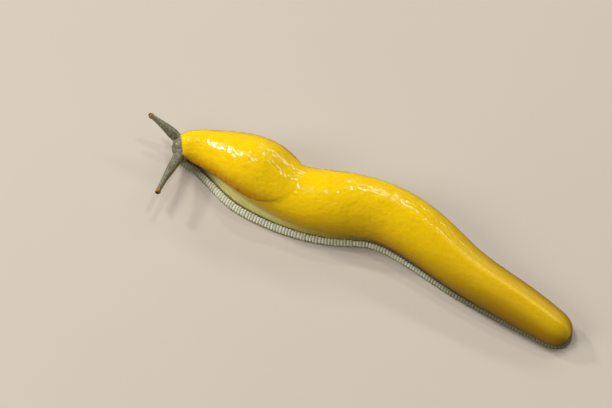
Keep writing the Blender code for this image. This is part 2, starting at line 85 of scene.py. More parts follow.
turn, height = math.radians(VIEW_TURN), math.radians(VIEW_HEIGHT)
level = Vector((math.sin(turn), -math.cos(turn), 0.0))
view_back = level * math.cos(height) + Vector((0.0, 0.0, math.sin(height)))
lens = bpy.data.cameras.new("camera")
lens.lens = LENS
lens.sensor_width = 36.0
lens.clip_start = 0.01
camera = in_scene("camera", lens)
camera.location = view_back * VIEW_DISTANCE
camera.rotation_mode = "QUATERNION"
camera.rotation_quaternion = (-view_back).to_track_quat("-Z", "Y")
bpy.context.scene.camera = camera
print("camera at", [round(c, 4) for c in camera.location])

# %% [markdown]
# A slug is one bent line with a section that changes along it. The line lies on the floor from
# the snout to the tail's tip. A few named places give, in millimetres, its x and y, half the
# width of the foot, half the width of the flesh and the height of the back. A natural cubic
# curve through the places keeps the bends as soft as muscle makes them.

# %% The line of the body
PLACES = {
    "snout": (7.2, -52.0, 5.0, 4.5, 8.3),
    "neck": (2.8, -46.4, 7.2, 5.2, 9.2),
    "shoulder": (0.6, -37.0, 10.7, 7.5, 11.9),
    "mantle bulge": (0.9, -21.0, 14.8, 10.8, 17.7),
    "behind the mantle": (2.0, -5.0, 13.8, 11.2, 16.4),
    "fore body": (-1.5, 10.8, 13.4, 12.0, 17.9),
    "bend": (-6.4, 25.5, 11.8, 11.3, 17.3),
    "middle": (-6.2, 43.0, 10.9, 10.5, 16.0),
    "hind body": (-1.8, 62.5, 9.2, 8.9, 13.4),
    "tail root": (0.8, 84.0, 7.7, 7.9, 11.6),
    "tail tip": (3.2, 105.0, 5.7, 5.9, 8.2),
}


def smooth_through(knots, values):
    """The natural cubic curve through the values at the knots, for one place or many."""
    knots, values = np.asarray(knots, float), np.asarray(values, float)
    steps = np.diff(knots)
    last = len(knots) - 1
    matrix, right = np.eye(last + 1), np.zeros(last + 1)
    slopes = np.diff(values) / steps
    for i in range(1, last):
        matrix[i, i - 1:i + 2] = steps[i - 1], 2 * (steps[i - 1] + steps[i]), steps[i]
        right[i] = 6 * (slopes[i] - slopes[i - 1])
    bends = np.linalg.solve(matrix, right)

    def at(s):
        i = np.clip(np.searchsorted(knots, s) - 1, 0, last - 1)
        a = (knots[i + 1] - s) / steps[i]
        b = (s - knots[i]) / steps[i]
        curve = ((a ** 3 - a) * bends[i] + (b ** 3 - b) * bends[i + 1]) * steps[i] ** 2 / 6
        return a * values[i] + b * values[i + 1] + curve

    return at


COLUMNS = [np.array(column) for column in zip(*PLACES.values())]
KNOTS = np.concatenate(([0.0], np.cumsum(np.hypot(np.diff(COLUMNS[0]), np.diff(COLUMNS[1])))))
LENGTH = KNOTS[-1]
spine_x, spine_y, foot_half, flesh_half, back_height = (smooth_through(KNOTS, c) for c in COLUMNS)
print("length of the body in mm", round(LENGTH, 1))

# %% [markdown]
# Every point of the animal is then a distance along the line, a distance to its left and a
# height. Two small curves are used everywhere: one that eases from nothing to all, and one that
# rounds off an end.

# %% Places on and beside the line


def ease(x):
    """Rises smoothly from 0 at x = 0 to 1 at x = 1."""
    x = np.clip(x, 0.0, 1.0)
    return x * x * (3 - 2 * x)


def rounding(distance, reach, power=2.0):
    """A round end: 0 at the end itself, 1 from reach inwards."""
    inward = np.clip(1 - distance / reach, 0.0, 1.0)
    return (1 - inward ** power) ** (1 / power)


def leftward(s):
    """The level direction across the body, towards its left side."""
    along_x = spine_x(s + 0.05) - spine_x(s - 0.05)
    along_y = spine_y(s + 0.05) - spine_y(s - 0.05)
    size = np.hypot(along_x, along_y)
    return along_y / size, -along_x / size


def place(s, x, z):
    """Points at distances s along the body, x to its left and z up."""
    s, x, z = np.broadcast_arrays(np.asarray(s, float), x, z)
    across_x, across_y = leftward(s)
    return np.stack([spine_x(s) + across_x * x, spine_y(s) + across_y * x, z], -1)


def heading(s, forward, out, up):
    """A direction given ahead of, to the left of and above the body at s."""
    across_x, across_y = leftward(s)
    return np.array([across_y * forward + across_x * out, -across_x * forward + across_y * out, up])


print("the tail's tip lies at", place(LENGTH, 0.0, 0.0).round(1))

# %% [markdown]
# The foot runs round the whole animal, and above it lies a shallow groove. The flesh rises from
# the groove in a hollow flank, is widest a third of the way up and closes over the back as half
# an ellipse. Towards the tail the back carries a soft keel.

# %% The section of the flesh
WIDEST_LEVEL = 0.38
FRINGE_LEVEL = (2.6, 1.7)
FRINGE_RUN = (1.9, 1.0)
FRINGE_NARROWS = (50.0, 50.0)
GROOVE_INSET = 0.25
KEEL_START, KEEL_RUN, KEEL_RISE, KEEL_ANGLE = 72.0, 30.0, 0.9, 13.0
GAP = 0.3


def fringe_level(y):
    """Height of the groove above the fringe, a little lower at the tail."""
    first, last = PLACES["snout"][1], PLACES["tail tip"][1]
    return FRINGE_LEVEL[0] + (FRINGE_LEVEL[1] - FRINGE_LEVEL[0]) * (y - first) / (last - first)


def fringe_run(s):
    """How far in from the foot's edge the groove lies."""
    share = ease((s - FRINGE_NARROWS[0]) / FRINGE_NARROWS[1])
    return FRINGE_RUN[0] + (FRINGE_RUN[1] - FRINGE_RUN[0]) * share


def back_section(s, angle, side=0.0, top=0.0):
    """Across and up from the spine line: angle 0 at the widest level, 90 degrees on the back."""
    level = WIDEST_LEVEL * back_height(s)
    keel = KEEL_RISE * ease((s - KEEL_START) / KEEL_RUN)
    ridge = keel * np.exp(-((90 - angle) / KEEL_ANGLE) ** 2)
    rise = back_height(s) + top - level - keel + ridge
    return (flesh_half(s) + side) * np.cos(np.radians(angle)), level + rise * np.sin(np.radians(angle))


def flank_section(s, turn):
    """The hollow flank between the groove, turn 0, and the widest level, turn 90."""
    groove = foot_half(s) - fringe_run(s) - GROOVE_INSET
    level = WIDEST_LEVEL * back_height(s)
    floor = fringe_level(spine_y(s))
    x = groove + (flesh_half(s) - groove) * np.sin(np.radians(turn))
    return x, floor + (level - floor) * (1 - np.cos(np.radians(turn)))


print("the back at its widest is", round(float(back_section(KNOTS[5], 0.0)[0]) * 2, 1), "mm wide")

# %% [markdown]
# Rings of points become skin by joining each ring to the next. All the forms that follow are
# made so, each closed at both ends. They overlap, and are melted into one skin at the end.

# %% Lofting rings into closed forms


def closed_form(name, rings, first_tip=None, last_tip=None):
    """Joins rings of equal count, given in millimetres, into one closed mesh object."""
    rings = np.asarray(rings, float)
    count, around = rings.shape[:2]
    points = list(rings.reshape(-1, 3))
    faces = []
    for i in range(count - 1):
        a, b = i * around, (i + 1) * around
        faces += [(a + j, a + (j + 1) % around, b + (j + 1) % around, b + j) for j in range(around)]
    for tip, start in ((first_tip, 0), (last_tip, (count - 1) * around)):
        ring = [start + j for j in range(around)]
        if tip is None:
            faces.append(ring)
        else:
            points.append(tip)
            faces += [(ring[j], ring[(j + 1) % around], len(points) - 1) for j in range(around)]
    mesh = bpy.data.meshes.new(name)
    mesh.from_pydata([tuple(point * MM) for point in points], [], faces)
    graph = bmesh.new()
    graph.from_mesh(mesh)
    bmesh.ops.recalc_face_normals(graph, faces=graph.faces)
    graph.to_mesh(mesh)
    graph.free()
    print(name, len(mesh.polygons), "faces")
    return in_scene(name, mesh)


# %% [markdown]
# The flesh is one loft from the snout to the tail. Its lower edge is sunk into the foot so that
# the two melt together. The snout is blunt and the tail is a long round tip that is drawn down
# towards the foot.

# %% The flesh from snout to tail
SNOUT_ROUND, SNOUT_POWER, SNOUT_LEVEL = 2.6, 2.2, 0.45
TAIL_ROUND, TAIL_POWER, TAIL_INSET = 8.0, 2.7, 0.2
SUNK = 0.5


def flesh_ring(s):
    """The section at s, from the foot over the back and down to the foot."""
    turns, angles = np.linspace(0, 84, 9), np.linspace(0, 90, 25)[:-1]
    low_x, low_z = flank_section(s, turns)
    high_x, high_z = back_section(s, angles)
    start = [(low_x[0] - SUNK, fringe_level(spine_y(s)) * SUNK)]
    side = np.array(start + list(zip(low_x, low_z)) + list(zip(high_x, high_z)))
    crown = np.array([[0.0, back_section(s, 90.0)[1]]])
    other = side[::-1] * (-1, 1)
    outline = np.concatenate([side, crown, other])
    return place(s, outline[:, 0], outline[:, 1])


def drawn_in(s, share, level):
    """The section at s drawn in by a share towards a level of its own height."""
    floor = fringe_level(spine_y(s)) + GAP
    middle = place(s, 0.0, floor + (back_height(s) - floor) * level)
    return middle + (flesh_ring(s) - middle) * share


def end_steps(reach, count):
    """Distances from a round end that crowd towards it."""
    return reach * (1 - np.cos(np.radians(np.linspace(6, 90, count))))


TAIL_END = LENGTH - TAIL_INSET
front = [drawn_in(s, rounding(s, SNOUT_ROUND, SNOUT_POWER), SNOUT_LEVEL)
         for s in end_steps(SNOUT_ROUND, 12)]
middle = [flesh_ring(s) for s in np.arange(SNOUT_ROUND + 0.5, TAIL_END - TAIL_ROUND, 0.7)]
rear = [drawn_in(TAIL_END - d, rounding(d, TAIL_ROUND, TAIL_POWER), 0.0)
        for d in end_steps(TAIL_ROUND, 22)[::-1]]
snout_tip = drawn_in(0.0, 0.0, SNOUT_LEVEL)[0]
tail_tip = drawn_in(TAIL_END, 0.0, 0.0)[0]
flesh = closed_form("flesh", front + middle + rear, snout_tip, tail_tip)

# %% [markdown]
# The foot is a thin slab round the whole body. A narrow lip of it spreads on the floor, and from
# the lip a band slopes up and inwards to the groove. The ribs of the fringe will stand on that
# band later.

# %% The foot and its lip
FOOT_START, FOOT_END = 0.9, LENGTH + 0.4
FOOT_FRONT_ROUND, FOOT_TAIL_ROUND, FOOT_END_POWER = 5.0, 7.0, 2.2
BAND_SUNK = 0.25
FOOT_PROFILE = ((-0.6, 0.0), (-0.05, 0.0), (0.24, 0.12), (0.26, 0.3), (0.05, 0.5), (-0.3, 0.6))


def foot_edge(count):
    """Even steps round the foot's edge: distance along the body, point and outward direction."""
    turns = np.linspace(0, math.pi, 1600)
    s = FOOT_START + (FOOT_END - FOOT_START) * (1 - np.cos(turns)) / 2
    ends = rounding(s - FOOT_START, FOOT_FRONT_ROUND, FOOT_END_POWER)
    ends = ends * rounding(FOOT_END - s, FOOT_TAIL_ROUND, FOOT_END_POWER)
    left = place(s, foot_half(s) * ends, 0.0)
    right = place(s, -foot_half(s) * ends, 0.0)
    points = np.concatenate([left, right[::-1][1:]])
    stations = np.concatenate([s, s[::-1][1:]])
    run = np.concatenate(([0.0], np.cumsum(np.linalg.norm(np.diff(points, axis=0), axis=1))))
    wanted = np.linspace(0, run[-1], count, endpoint=False)
    even = np.stack([np.interp(wanted, run, points[:, i]) for i in range(3)], -1)
    along = np.roll(even, -1, 0) - np.roll(even, 1, 0)
    along /= np.linalg.norm(along, axis=1)[:, None]
    outward = np.stack([along[:, 1], -along[:, 0], np.zeros(count)], -1)
    return np.interp(wanted, run, stations), even, outward, run[-1]


s_edge, edge, outward, edge_length = foot_edge(900)
loops = []
for out, up in FOOT_PROFILE:
    loop = edge + outward * out
    loop[:, 2] = up
    loops.append(loop)
for share in (0.35, 0.7, 1.0):
    loop = edge - outward * (BAND_SUNK + fringe_run(s_edge) * share)[:, None]
    loop[:, 2] = fringe_level(edge[:, 1]) * (0.25 + 0.75 * math.sin(math.pi / 2 * share)) - 0.1
    loops.append(loop)
foot = closed_form("foot", loops)
print("edge of the foot in mm", round(edge_length, 1))

# %% [markdown]
# The mantle is the thick shield behind the head. Its edge is free at the sides and hangs a
# little over the flank, its front forms a hood over the neck, and its rear melts into the back.
# It is made as a shell whose inner face lies within the flesh.

# %% The mantle
MANTLE_START, MANTLE_END = 3.5, 52.5
MANTLE_FRONT_ROUND, MANTLE_REAR_ROUND = 6.0, 17.0
MANTLE_FRONT_POWER, MANTLE_REAR_POWER = 3.0, 2.0
MANTLE_OPENING, MANTLE_SIDE, MANTLE_TOP, MANTLE_EDGE = 74.0, 1.5, 2.1, 0.6
MANTLE_THIN_FRONT, MANTLE_THIN_REAR, MANTLE_THINS = 0.35, 0.05, 17.0
MANTLE_RIM = ((0.95, 0.35), (0.82, 0.7), (0.5, 1.0), (0.18, 0.8), (-0.1, 0.4))
INSIDE = -0.9


def mantle_opening(s):
    """Angle from the back down to the mantle's edge."""
    opened = rounding(s - MANTLE_START, MANTLE_FRONT_ROUND, MANTLE_FRONT_POWER)
    return MANTLE_OPENING * opened * rounding(MANTLE_END - s, MANTLE_REAR_ROUND, MANTLE_REAR_POWER)


def mantle_thickness(s):
    """Share of the full thickness at s."""
    first = MANTLE_THIN_FRONT + (1 - MANTLE_THIN_FRONT) * rounding(s - MANTLE_START, 3.0)
    last = MANTLE_THIN_REAR + (1 - MANTLE_THIN_REAR) * ease((MANTLE_END - s) / MANTLE_THINS)
    return first * last


def mantle_point(s, angle, share):
    """A point of the mantle: degrees from the back to the left, share 1 on its outer face."""
    thick = mantle_thickness(s)
    grown = np.where(share > 0, share * thick, share)
    lifted = GAP * (share > 0) * ease((MANTLE_END - s) / 6)
    side, top = lifted + grown * MANTLE_SIDE, lifted + grown * MANTLE_TOP
    x, z = back_section(s, 90 - np.abs(angle), side, top)
    return place(s, np.copysign(x, angle), z)


def mantle_ring(s):
    """Over the outer face, round the left rim, back along the inner face, round the right rim."""
    opening = mantle_opening(s)
    over = mantle_point(s, opening * np.sin(np.radians(np.linspace(-90, 90, 61))), 1.0)
    under = mantle_point(s, opening * np.linspace(0.96, -0.96, 31), INSIDE)
    sag = min(1.0, opening / 40) * MANTLE_EDGE
    rims = []
    for side in (1, -1):
        rim = np.array([mantle_point(s, side * opening, share) for share, _ in MANTLE_RIM])
        rim[:, 2] -= sag * np.array([drop for _, drop in MANTLE_RIM])
        rims.append(rim)
    return np.concatenate([over, rims[0], under, rims[1][::-1]])


stations = np.concatenate([
    MANTLE_START + end_steps(MANTLE_FRONT_ROUND, 14),
    np.arange(MANTLE_START + MANTLE_FRONT_ROUND + 0.6, MANTLE_END - MANTLE_REAR_ROUND, 0.6),
    MANTLE_END - end_steps(MANTLE_REAR_ROUND, 26)[::-1],
])
mantle = closed_form("mantle", [mantle_ring(s) for s in stations],
                     mantle_point(MANTLE_START, 0.0, 0.5), mantle_point(MANTLE_END, 0.0, 0.3))

# %% [markdown]
# A slug smells and sees with its feelers. The long upper pair carries an eye on a small bulb at
# each tip, and the short lower pair beside the mouth feels the ground. Each is a tube that
# tapers from a broad root, and its radius follows a short table of shares. A feeler has a root,
# given along, out and up, a reach, given ahead, out and up, and a bow upwards.

# %% The feelers
EYE_FEELERS = {
    "left": ((1.6, 4.3, 6.5), (10.1, 14.9, 2.0), 0.7),
    "right": ((1.5, 5.2, 7.1), (7.3, 7.7, 4.1), 0.6),
}
EYE_FEELER_RADII = ((-0.05, 2.0), (0.05, 2.1), (0.16, 1.95), (0.3, 1.75), (0.45, 1.48),
                    (0.6, 1.2), (0.75, 1.02), (0.88, 0.92), (1.0, 0.92))
ROOT_DEPTH, ROOT_RADIUS = 3.4, 1.45
LIP_FEELER_ROOT, LIP_FEELER_REACH = (1.3, 2.4, 3.9), (1.0, 0.9, -1.5)
LIP_FEELER_RADII = ((-0.4, 0.8), (0.0, 0.85), (0.35, 0.72), (0.7, 0.62), (0.9, 0.6))
BULB_RADIUS, BULB_SET_BACK, LIP_TIP_RADIUS = 1.12, 0.6, 0.66
EYE_LIFT = 0.6
FEELER_SIDES, FEELER_RINGS = 24, 60
BALL_SIDES, BALL_STEPS = 32, 20


class Feeler:
    """A bowed line from a root on the head to a tip, with a radius along it."""

    def __init__(self, root, reach, bow, side, table, depth):
        s, x, z = root
        self.root = place(s, side * x, z)
        self.reach = heading(s, reach[0], side * reach[1], reach[2])
        self.long = float(np.linalg.norm(self.reach))
        self.bow = bow
        self.table = np.array(table)
        self.start = -depth / self.long

    def at(self, share):
        lift = self.bow * math.sin(math.pi * min(max(share, 0.0), 1.0))
        return self.root + self.reach * share + np.array([0.0, 0.0, lift])

    def radius(self, share):
        return np.interp(share, self.table[:, 0], self.table[:, 1])

    def tube(self, name, end):
        """Rings across the line, closed from the start to a share of the reach."""
        turn = Vector(self.reach).to_track_quat("Z", "Y")
        angles = np.linspace(0, 2 * math.pi, FEELER_SIDES, False)
        sides = [np.array(turn @ Vector((math.cos(a), math.sin(a), 0.0))) for a in angles]
        rings = []
        for share in np.linspace(self.start, end, FEELER_RINGS):
            rings.append([self.at(share) + side * self.radius(share) for side in sides])
        return closed_form(name, rings, self.at(self.start), self.at(end))


def ball(name, centre, radius):
    """A closed ball of level rings with its middle at the centre."""
    turns = np.linspace(0, 2 * math.pi, BALL_SIDES, False)
    level = np.stack([np.cos(turns), np.sin(turns), np.zeros(BALL_SIDES)], -1)
    up = np.array([0.0, 0.0, 1.0])
    heights = np.linspace(-math.pi / 2, math.pi / 2, BALL_STEPS + 1)[1:-1]
    rings = [centre + radius * (level * math.cos(h) + up * math.sin(h)) for h in heights]
    return closed_form(name, rings, centre - up * radius, centre + up * radius)


forms = [flesh, foot, mantle]
eye_feelers, lip_feelers, bulbs = {}, {}, {}
for hand, side in (("left", 1), ("right", -1)):
    root, reach, bow = EYE_FEELERS[hand]
    feeler = Feeler(root, reach, bow, side, EYE_FEELER_RADII, ROOT_DEPTH)
    feeler.table = np.vstack([[feeler.start, ROOT_RADIUS], feeler.table])
    tip = feeler.at(1.0)
    axis = (tip - feeler.at(0.95)) / np.linalg.norm(tip - feeler.at(0.95))
    centre = tip - axis * BULB_RADIUS * BULB_SET_BACK
    gaze = axis + np.array([0.0, 0.0, EYE_LIFT])
    eye_feelers[hand], bulbs[hand] = feeler, (centre, gaze / np.linalg.norm(gaze))
    forms += [feeler.tube("feeler_" + hand, 0.96), ball("bulb_" + hand, centre, BULB_RADIUS)]
    low = Feeler(LIP_FEELER_ROOT, LIP_FEELER_REACH, 0.0, side, LIP_FEELER_RADII, 1.1)
    lip_feelers[hand] = low
    forms += [low.tube("low_feeler_" + hand, 0.9), ball("low_tip_" + hand, low.at(0.9), LIP_TIP_RADIUS)]
print("feelers in mm", {hand: round(f.long, 1) for hand, f in eye_feelers.items()})

# %% [markdown]
# Low on the snout the mouth is a short slit between soft lips. A ring stands for the lips. The
# slit itself is pressed in after the forms are one skin.

# %% The lips
MOUTH_AT, MOUTH_HEIGHT, MOUTH_DROOP = 0.55, 3.1, 0.35
LIP_RING, LIP_THICKNESS = 1.25, 0.5

mouth = place(MOUTH_AT, 0.0, MOUTH_HEIGHT)
mouth_facing = heading(0.0, 1.0, 0.0, -MOUTH_DROOP)
mouth_facing /= np.linalg.norm(mouth_facing)
mouth_turn = Vector(mouth_facing).to_track_quat("Z", "Y")
rings = []
for a in np.linspace(0, 2 * math.pi, 33):
    outwards = Vector((math.cos(a), math.sin(a), 0.0))
    ring = []
    for b in np.linspace(0, 2 * math.pi, 12, False):
        point = outwards * (LIP_RING + LIP_THICKNESS * math.cos(b))
        point.z = LIP_THICKNESS * math.sin(b)
        ring.append(mouth + np.array(mouth_turn @ point))
    rings.append(ring)
forms.append(closed_form("lips", rings))

# %% [markdown]
# Now the forms become one skin. A voxel remesh takes the outer surface of everything that
# overlaps and covers it with small even faces, not quite 0.4 mm wide, which keeps the skin under
# 200,000 triangles. It leaves crisp creases where living flesh is soft, so the roots of the
# feelers and the rear of the mantle are smoothed afterwards, and the rest a little.

# %% Melting the forms into one skin
VOXEL = 0.385


def evaluated(thing, name):
    """The mesh of an object with its modifiers, as a new plain mesh."""
    graph = bpy.context.evaluated_depsgraph_get()
    made = bpy.data.meshes.new_from_object(thing.evaluated_get(graph))
    made.name = name
    return made


def joined(name, things):
    """One mesh object from several, which are removed."""
    graph = bmesh.new()
    for thing in things:
        graph.from_mesh(thing.data)
        bpy.data.objects.remove(thing, do_unlink=True)
    mesh = bpy.data.meshes.new(name)
    graph.to_mesh(mesh)
    graph.free()
    return in_scene(name, mesh)


skin = joined("skin", forms)
melt = skin.modifiers.new("melt", "REMESH")
melt.mode = "VOXEL"
melt.voxel_size = VOXEL * MM
bpy.context.view_layer.update()
skin.data = evaluated(skin, "skin")
skin.modifiers.clear()
print("skin", len(skin.data.polygons), "faces after melting")

# %% [markdown]
# To smooth, colour and wrinkle the skin by its anatomy, each point has to know where on the
# animal it is. The step down the body's line gives the distance along it and to the side, the
# section gives the angle round it, and what stands out beyond the section is the mantle.

# %% Where each point of the skin lies
PAST_ENDS = 4.0


def points_of(mesh):
    """The points of a mesh in millimetres."""
    flat = np.zeros(len(mesh.vertices) * 3)
    mesh.vertices.foreach_get("co", flat)
    return flat.reshape(-1, 3) / MM


def put_points(mesh, points):
    """Moves the points of a mesh to places in millimetres."""
    mesh.vertices.foreach_set("co", (points * MM).ravel())
    mesh.update()


def anatomy(points):
    """Distance along, to the left, girth from groove 0 to back 2, and height over the flesh."""
    steps = np.linspace(-PAST_ENDS, LENGTH + PAST_ENDS, 800)
    s = np.interp(points[:, 1], spine_y(steps), steps)
    for _ in range(6):
        across_x, across_y = leftward(s)
        miss = (points[:, 0] - spine_x(s)) * -across_y + (points[:, 1] - spine_y(s)) * across_x
        s = np.clip(s + miss, -PAST_ENDS, LENGTH + PAST_ENDS)
    across_x, across_y = leftward(s)
    x = (points[:, 0] - spine_x(s)) * across_x + (points[:, 1] - spine_y(s)) * across_y
    inner = np.clip(s, 0.0, LENGTH)
    level, half = WIDEST_LEVEL * back_height(inner), flesh_half(inner)
    rise = back_height(inner) - level
    up = (points[:, 2] - level) / rise
    angle = np.degrees(np.arctan2(np.maximum(up, 0.0), np.abs(x) / half))
    floor = fringe_level(points[:, 1])
    lower = np.clip((points[:, 2] - floor) / (level - floor), 0.0, 1.0)
    girth = np.where(up > 0, 1 + angle / 90, lower)
    over = (np.hypot(np.abs(x) / half, np.maximum(up, 0.0)) - 1) * half
    below = np.abs(x) - half
    return s, x, girth, np.where(up > 0, over, below)


def near_feeler(points, feeler):
    """Share along a feeler and distance from its line, for every point."""
    reach = feeler.reach / feeler.long
    share = ((points - feeler.root) @ reach) / feeler.long
    lift = feeler.bow * np.sin(math.pi * np.clip(share, 0, 1))
    line = feeler.root + share[:, None] * feeler.reach
    line[:, 2] += lift
    return share, np.linalg.norm(points - line, axis=1)


def smoothed(thing, weights, rounds):
    """Relaxes the skin where the weights are high."""
    group = thing.vertex_groups.new(name="soft")
    steps = np.round(weights * 10).astype(int)
    for level in range(1, 11):
        chosen = np.nonzero(steps == level)[0]
        if len(chosen):
            group.add(chosen.tolist(), level / 10, "REPLACE")
    soften = thing.modifiers.new("soften", "SMOOTH")
    soften.factor, soften.iterations, soften.vertex_group = 0.5, rounds, "soft"
    bpy.context.view_layer.update()
    thing.data = evaluated(thing, "skin")
    thing.modifiers.clear()
    thing.vertex_groups.clear()


# %% [markdown]
# Flesh flows into the feelers, and the mantle's rear melts into the back. A Smooth modifier works
# only where a weight is high: round each root, over the mantle's rear, and a little elsewhere.

# %% Smoothing the roots and the mantle's rear
ROOT_REACH = {"eye": 4.4, "lip": 1.2}

all_feelers = [("eye", f) for f in eye_feelers.values()] + [("lip", f) for f in lip_feelers.values()]
points = points_of(skin.data)
s, _, girth, _ = anatomy(points)
roots, tubes = np.zeros(len(points)), np.zeros(len(points))
for kind, feeler in all_feelers:
    reach = ROOT_REACH[kind]
    from_root = np.linalg.norm(points - feeler.at(0.05), axis=1)
    roots = np.maximum(roots, 1 - ease((from_root - reach * 0.6) / reach))
    share, away = near_feeler(points, feeler)
    tubes = np.maximum(tubes, (away < 3) * ease((share - 0.12) / 0.15))
rear_of_mantle = ease((s - 38) / 8) * (1 - ease((s - 57) / 5)) * ease((girth - 1.25) / 0.45)
smoothed(skin, roots, 20)
smoothed(skin, rear_of_mantle, 50)
smoothed(skin, 1 - tubes, 2)
print("points softened at the roots", int((roots > 0.5).sum()))
print("points softened at the mantle's rear", int((rear_of_mantle > 0.5).sum()))

# %% [markdown]
# Three openings are pressed into the skin: the mouth's slit, the breathing pore in the right
# edge of the mantle, and the slime pit over the tail's tip. Each is a dent with a soft rim, so
# nothing is cut and the skin stays closed. A row gives a dent's centre, the way it faces, its
# depth, half its width and height, and how much shade is painted inside it. The sole is set
# flat on the floor.

# %% Pressing in the mouth, the pore and the tail's pit
BREATHING_PORE_AT = 33.0
SOLE_SNAP = 0.12

pore = mantle_point(BREATHING_PORE_AT, 3.0 - float(mantle_opening(BREATHING_PORE_AT)), 1.0)
pore_facing = heading(BREATHING_PORE_AT, 0.1, -1.0, 0.25)
pit, pit_facing = place(LENGTH - 1.0, 0.0, 3.3), heading(LENGTH, -1.0, 0.0, 0.5)
DENTS = {
    "mouth": (mouth + mouth_facing * 0.4, mouth_facing, 1.0, (0.95, 0.36), 1.0),
    "pore": (pore, pore_facing, 1.3, (1.5, 1.1), 1.0),
    "pit": (pit, pit_facing, 0.45, (0.5, 0.9), 0.4),
}


def dent(points, centre, facing, depth, size):
    """Presses an oval into the points and gives back how deep each lies in it, 0 to 1."""
    facing = facing / np.linalg.norm(facing)
    wide = np.cross(facing, (0.0, 0.0, 1.0))
    wide /= np.linalg.norm(wide)
    tall = np.cross(wide, facing)
    off = points - centre
    oval = np.hypot(off @ wide / size[0], off @ tall / size[1])
    near = np.abs(off @ facing) < 2.0
    share = np.where(near, np.clip(1 - oval ** 2, 0, 1), 0.0)
    points -= facing * (depth * ease(share))[:, None]
    return share


points = points_of(skin.data)
openings = np.zeros(len(points))
for name, (centre, facing, depth, size, inner_shade) in DENTS.items():
    share = dent(points, centre, facing, depth, size)
    # Painted shade: the inside of each dent is darkened by its share.
    openings = np.maximum(openings, share * inner_shade)
    print(name, int((share > 0.1).sum()), "points pressed in")
points[:, 2] = np.where(points[:, 2] < SOLE_SNAP, 0.0, points[:, 2])
put_points(skin.data, points)

# %% [markdown]
# The anatomy is stored on the skin as named values, which the wrinkles and the colours read. A
# flow map, millimetres along the body and round it, lets patterns follow the flesh instead of
# sliding through it.

# %% Storing the anatomy on the skin


def store(mesh, name, values, kind="FLOAT"):
    """Keeps one value or vector for each point under a name."""
    layer = mesh.attributes.new(name, kind, "POINT")
    key = "value" if kind == "FLOAT" else "vector"
    layer.data.foreach_set(key, np.asarray(values, np.float32).ravel())


LIP_FEELER_SHARE = 0.12
HEAD_END, HEAD_BLEND = 3.4, 1.0
SHADE_REACH, SHADE_FADES, SHADE_RUN = 3.4, 20.0, 14.0
HOOD_FADES, HOOD_RUN, HOOD_TOP = 14.0, 12.0, 1.1
FLANK_ARC, BACK_ARC = 6.0, 20.0
BAND_BLEND = 0.5


def describe(mesh):
    """Works out the anatomy of a mesh and stores it. The lower feelers count as roots, all grey."""
    points = points_of(mesh)
    s, x, girth, over = anatomy(points)
    feeler_share = np.zeros(len(points))
    for kind, feeler in all_feelers:
        share, away = near_feeler(points, feeler)
        close = away < np.maximum(feeler.radius(share) * 1.5, 1.4)
        scaled = np.clip(share, 0, 1.2) * (1.0 if kind == "eye" else LIP_FEELER_SHARE)
        feeler_share = np.where(close, np.maximum(feeler_share, scaled), feeler_share)
    inside = (s > MANTLE_START - 0.6) & (s < MANTLE_END) & (feeler_share < 0.1)
    margin = mantle_opening(np.clip(s, MANTLE_START, MANTLE_END)) - (2 - girth) * 90
    margin = margin * math.pi / 180 * flesh_half(np.clip(s, 0, LENGTH))
    shade = ease((margin + SHADE_REACH) / 3.0) * (1 - ease(margin - 0.5))
    shade = shade * (1 - ease((girth - 1.2) / 0.4))
    shade = shade * ease((s - 2.0) / 3.0) * (1 - ease((s - SHADE_FADES) / SHADE_RUN))
    hood = (1 - ease((s - HOOD_FADES) / HOOD_RUN)) * ease((s - 3.0) / 2.0)
    hood = hood * (1 - ease((girth - HOOD_TOP) / 0.3))
    shade = np.maximum(shade, hood) * (feeler_share < 0.1)
    raised = ease((over - 0.25) / 0.4) * inside * ease((margin + 2.0) / 0.6)
    arc = np.where(girth > 1, FLANK_ARC + (girth - 1) * BACK_ARC, girth * FLANK_ARC) * np.sign(x)
    store(mesh, "along", s / LENGTH)
    store(mesh, "girth", girth)
    store(mesh, "mantle", raised)
    store(mesh, "margin", margin)
    store(mesh, "shade", shade * (1 - raised))
    store(mesh, "feeler", feeler_share)
    store(mesh, "head", 1 - ease((s - HEAD_END) / HEAD_BLEND))
    store(mesh, "band", 1 - ease((points[:, 2] - fringe_level(points[:, 1])) / BAND_BLEND))
    store(mesh, "flow", np.stack([s, arc, points[:, 2]], -1), "FLOAT_VECTOR")
    return raised


raised = describe(skin.data)
store(skin.data, "opening", openings)
print("mantle covers", int((raised > 0.5).sum()), "points of", len(skin.data.vertices))

# %% [markdown]
# Skin that keeps wet is not smooth. Shallow grooves net the flanks, low folds run across the
# back, and the mantle is finely grained. Geometry Nodes lift the skin along its normals by a
# pattern that reads the flow map, so one tree with a few named sizes wrinkles the whole animal.

# %% Small helpers for building node trees


def node(tree, kind, inputs=None, **settings):
    """Adds a node, sets its options and connects or fills its inputs."""
    made = tree.nodes.new(kind)
    for name, value in settings.items():
        setattr(made, name, value)
    for key, value in (inputs or {}).items():
        if isinstance(value, bpy.types.NodeSocket):
            tree.links.new(value, made.inputs[key])
        else:
            made.inputs[key].default_value = value
    return made


def calc(how, a, b=0.0, c=0.0):
    """One step of arithmetic, where a or b is a socket and the others may be numbers."""
    tree = (a if isinstance(a, bpy.types.NodeSocket) else b).id_data
    return node(tree, "ShaderNodeMath", {0: a, 1: b, 2: c}, operation=how).outputs[0]


def times(value, *factors):
    """The product of a socket with sockets or numbers."""
    for factor in factors:
        value = calc("MULTIPLY", value, factor)
    return value


def span(value, low, high, start=0.0, end=1.0):
    """Maps a value between two limits smoothly on to another range."""
    made = node(value.id_data, "ShaderNodeMapRange", {0: value, 1: low, 2: high, 3: start, 4: end})
    made.interpolation_type = "SMOOTHSTEP"
    return made.outputs[0]


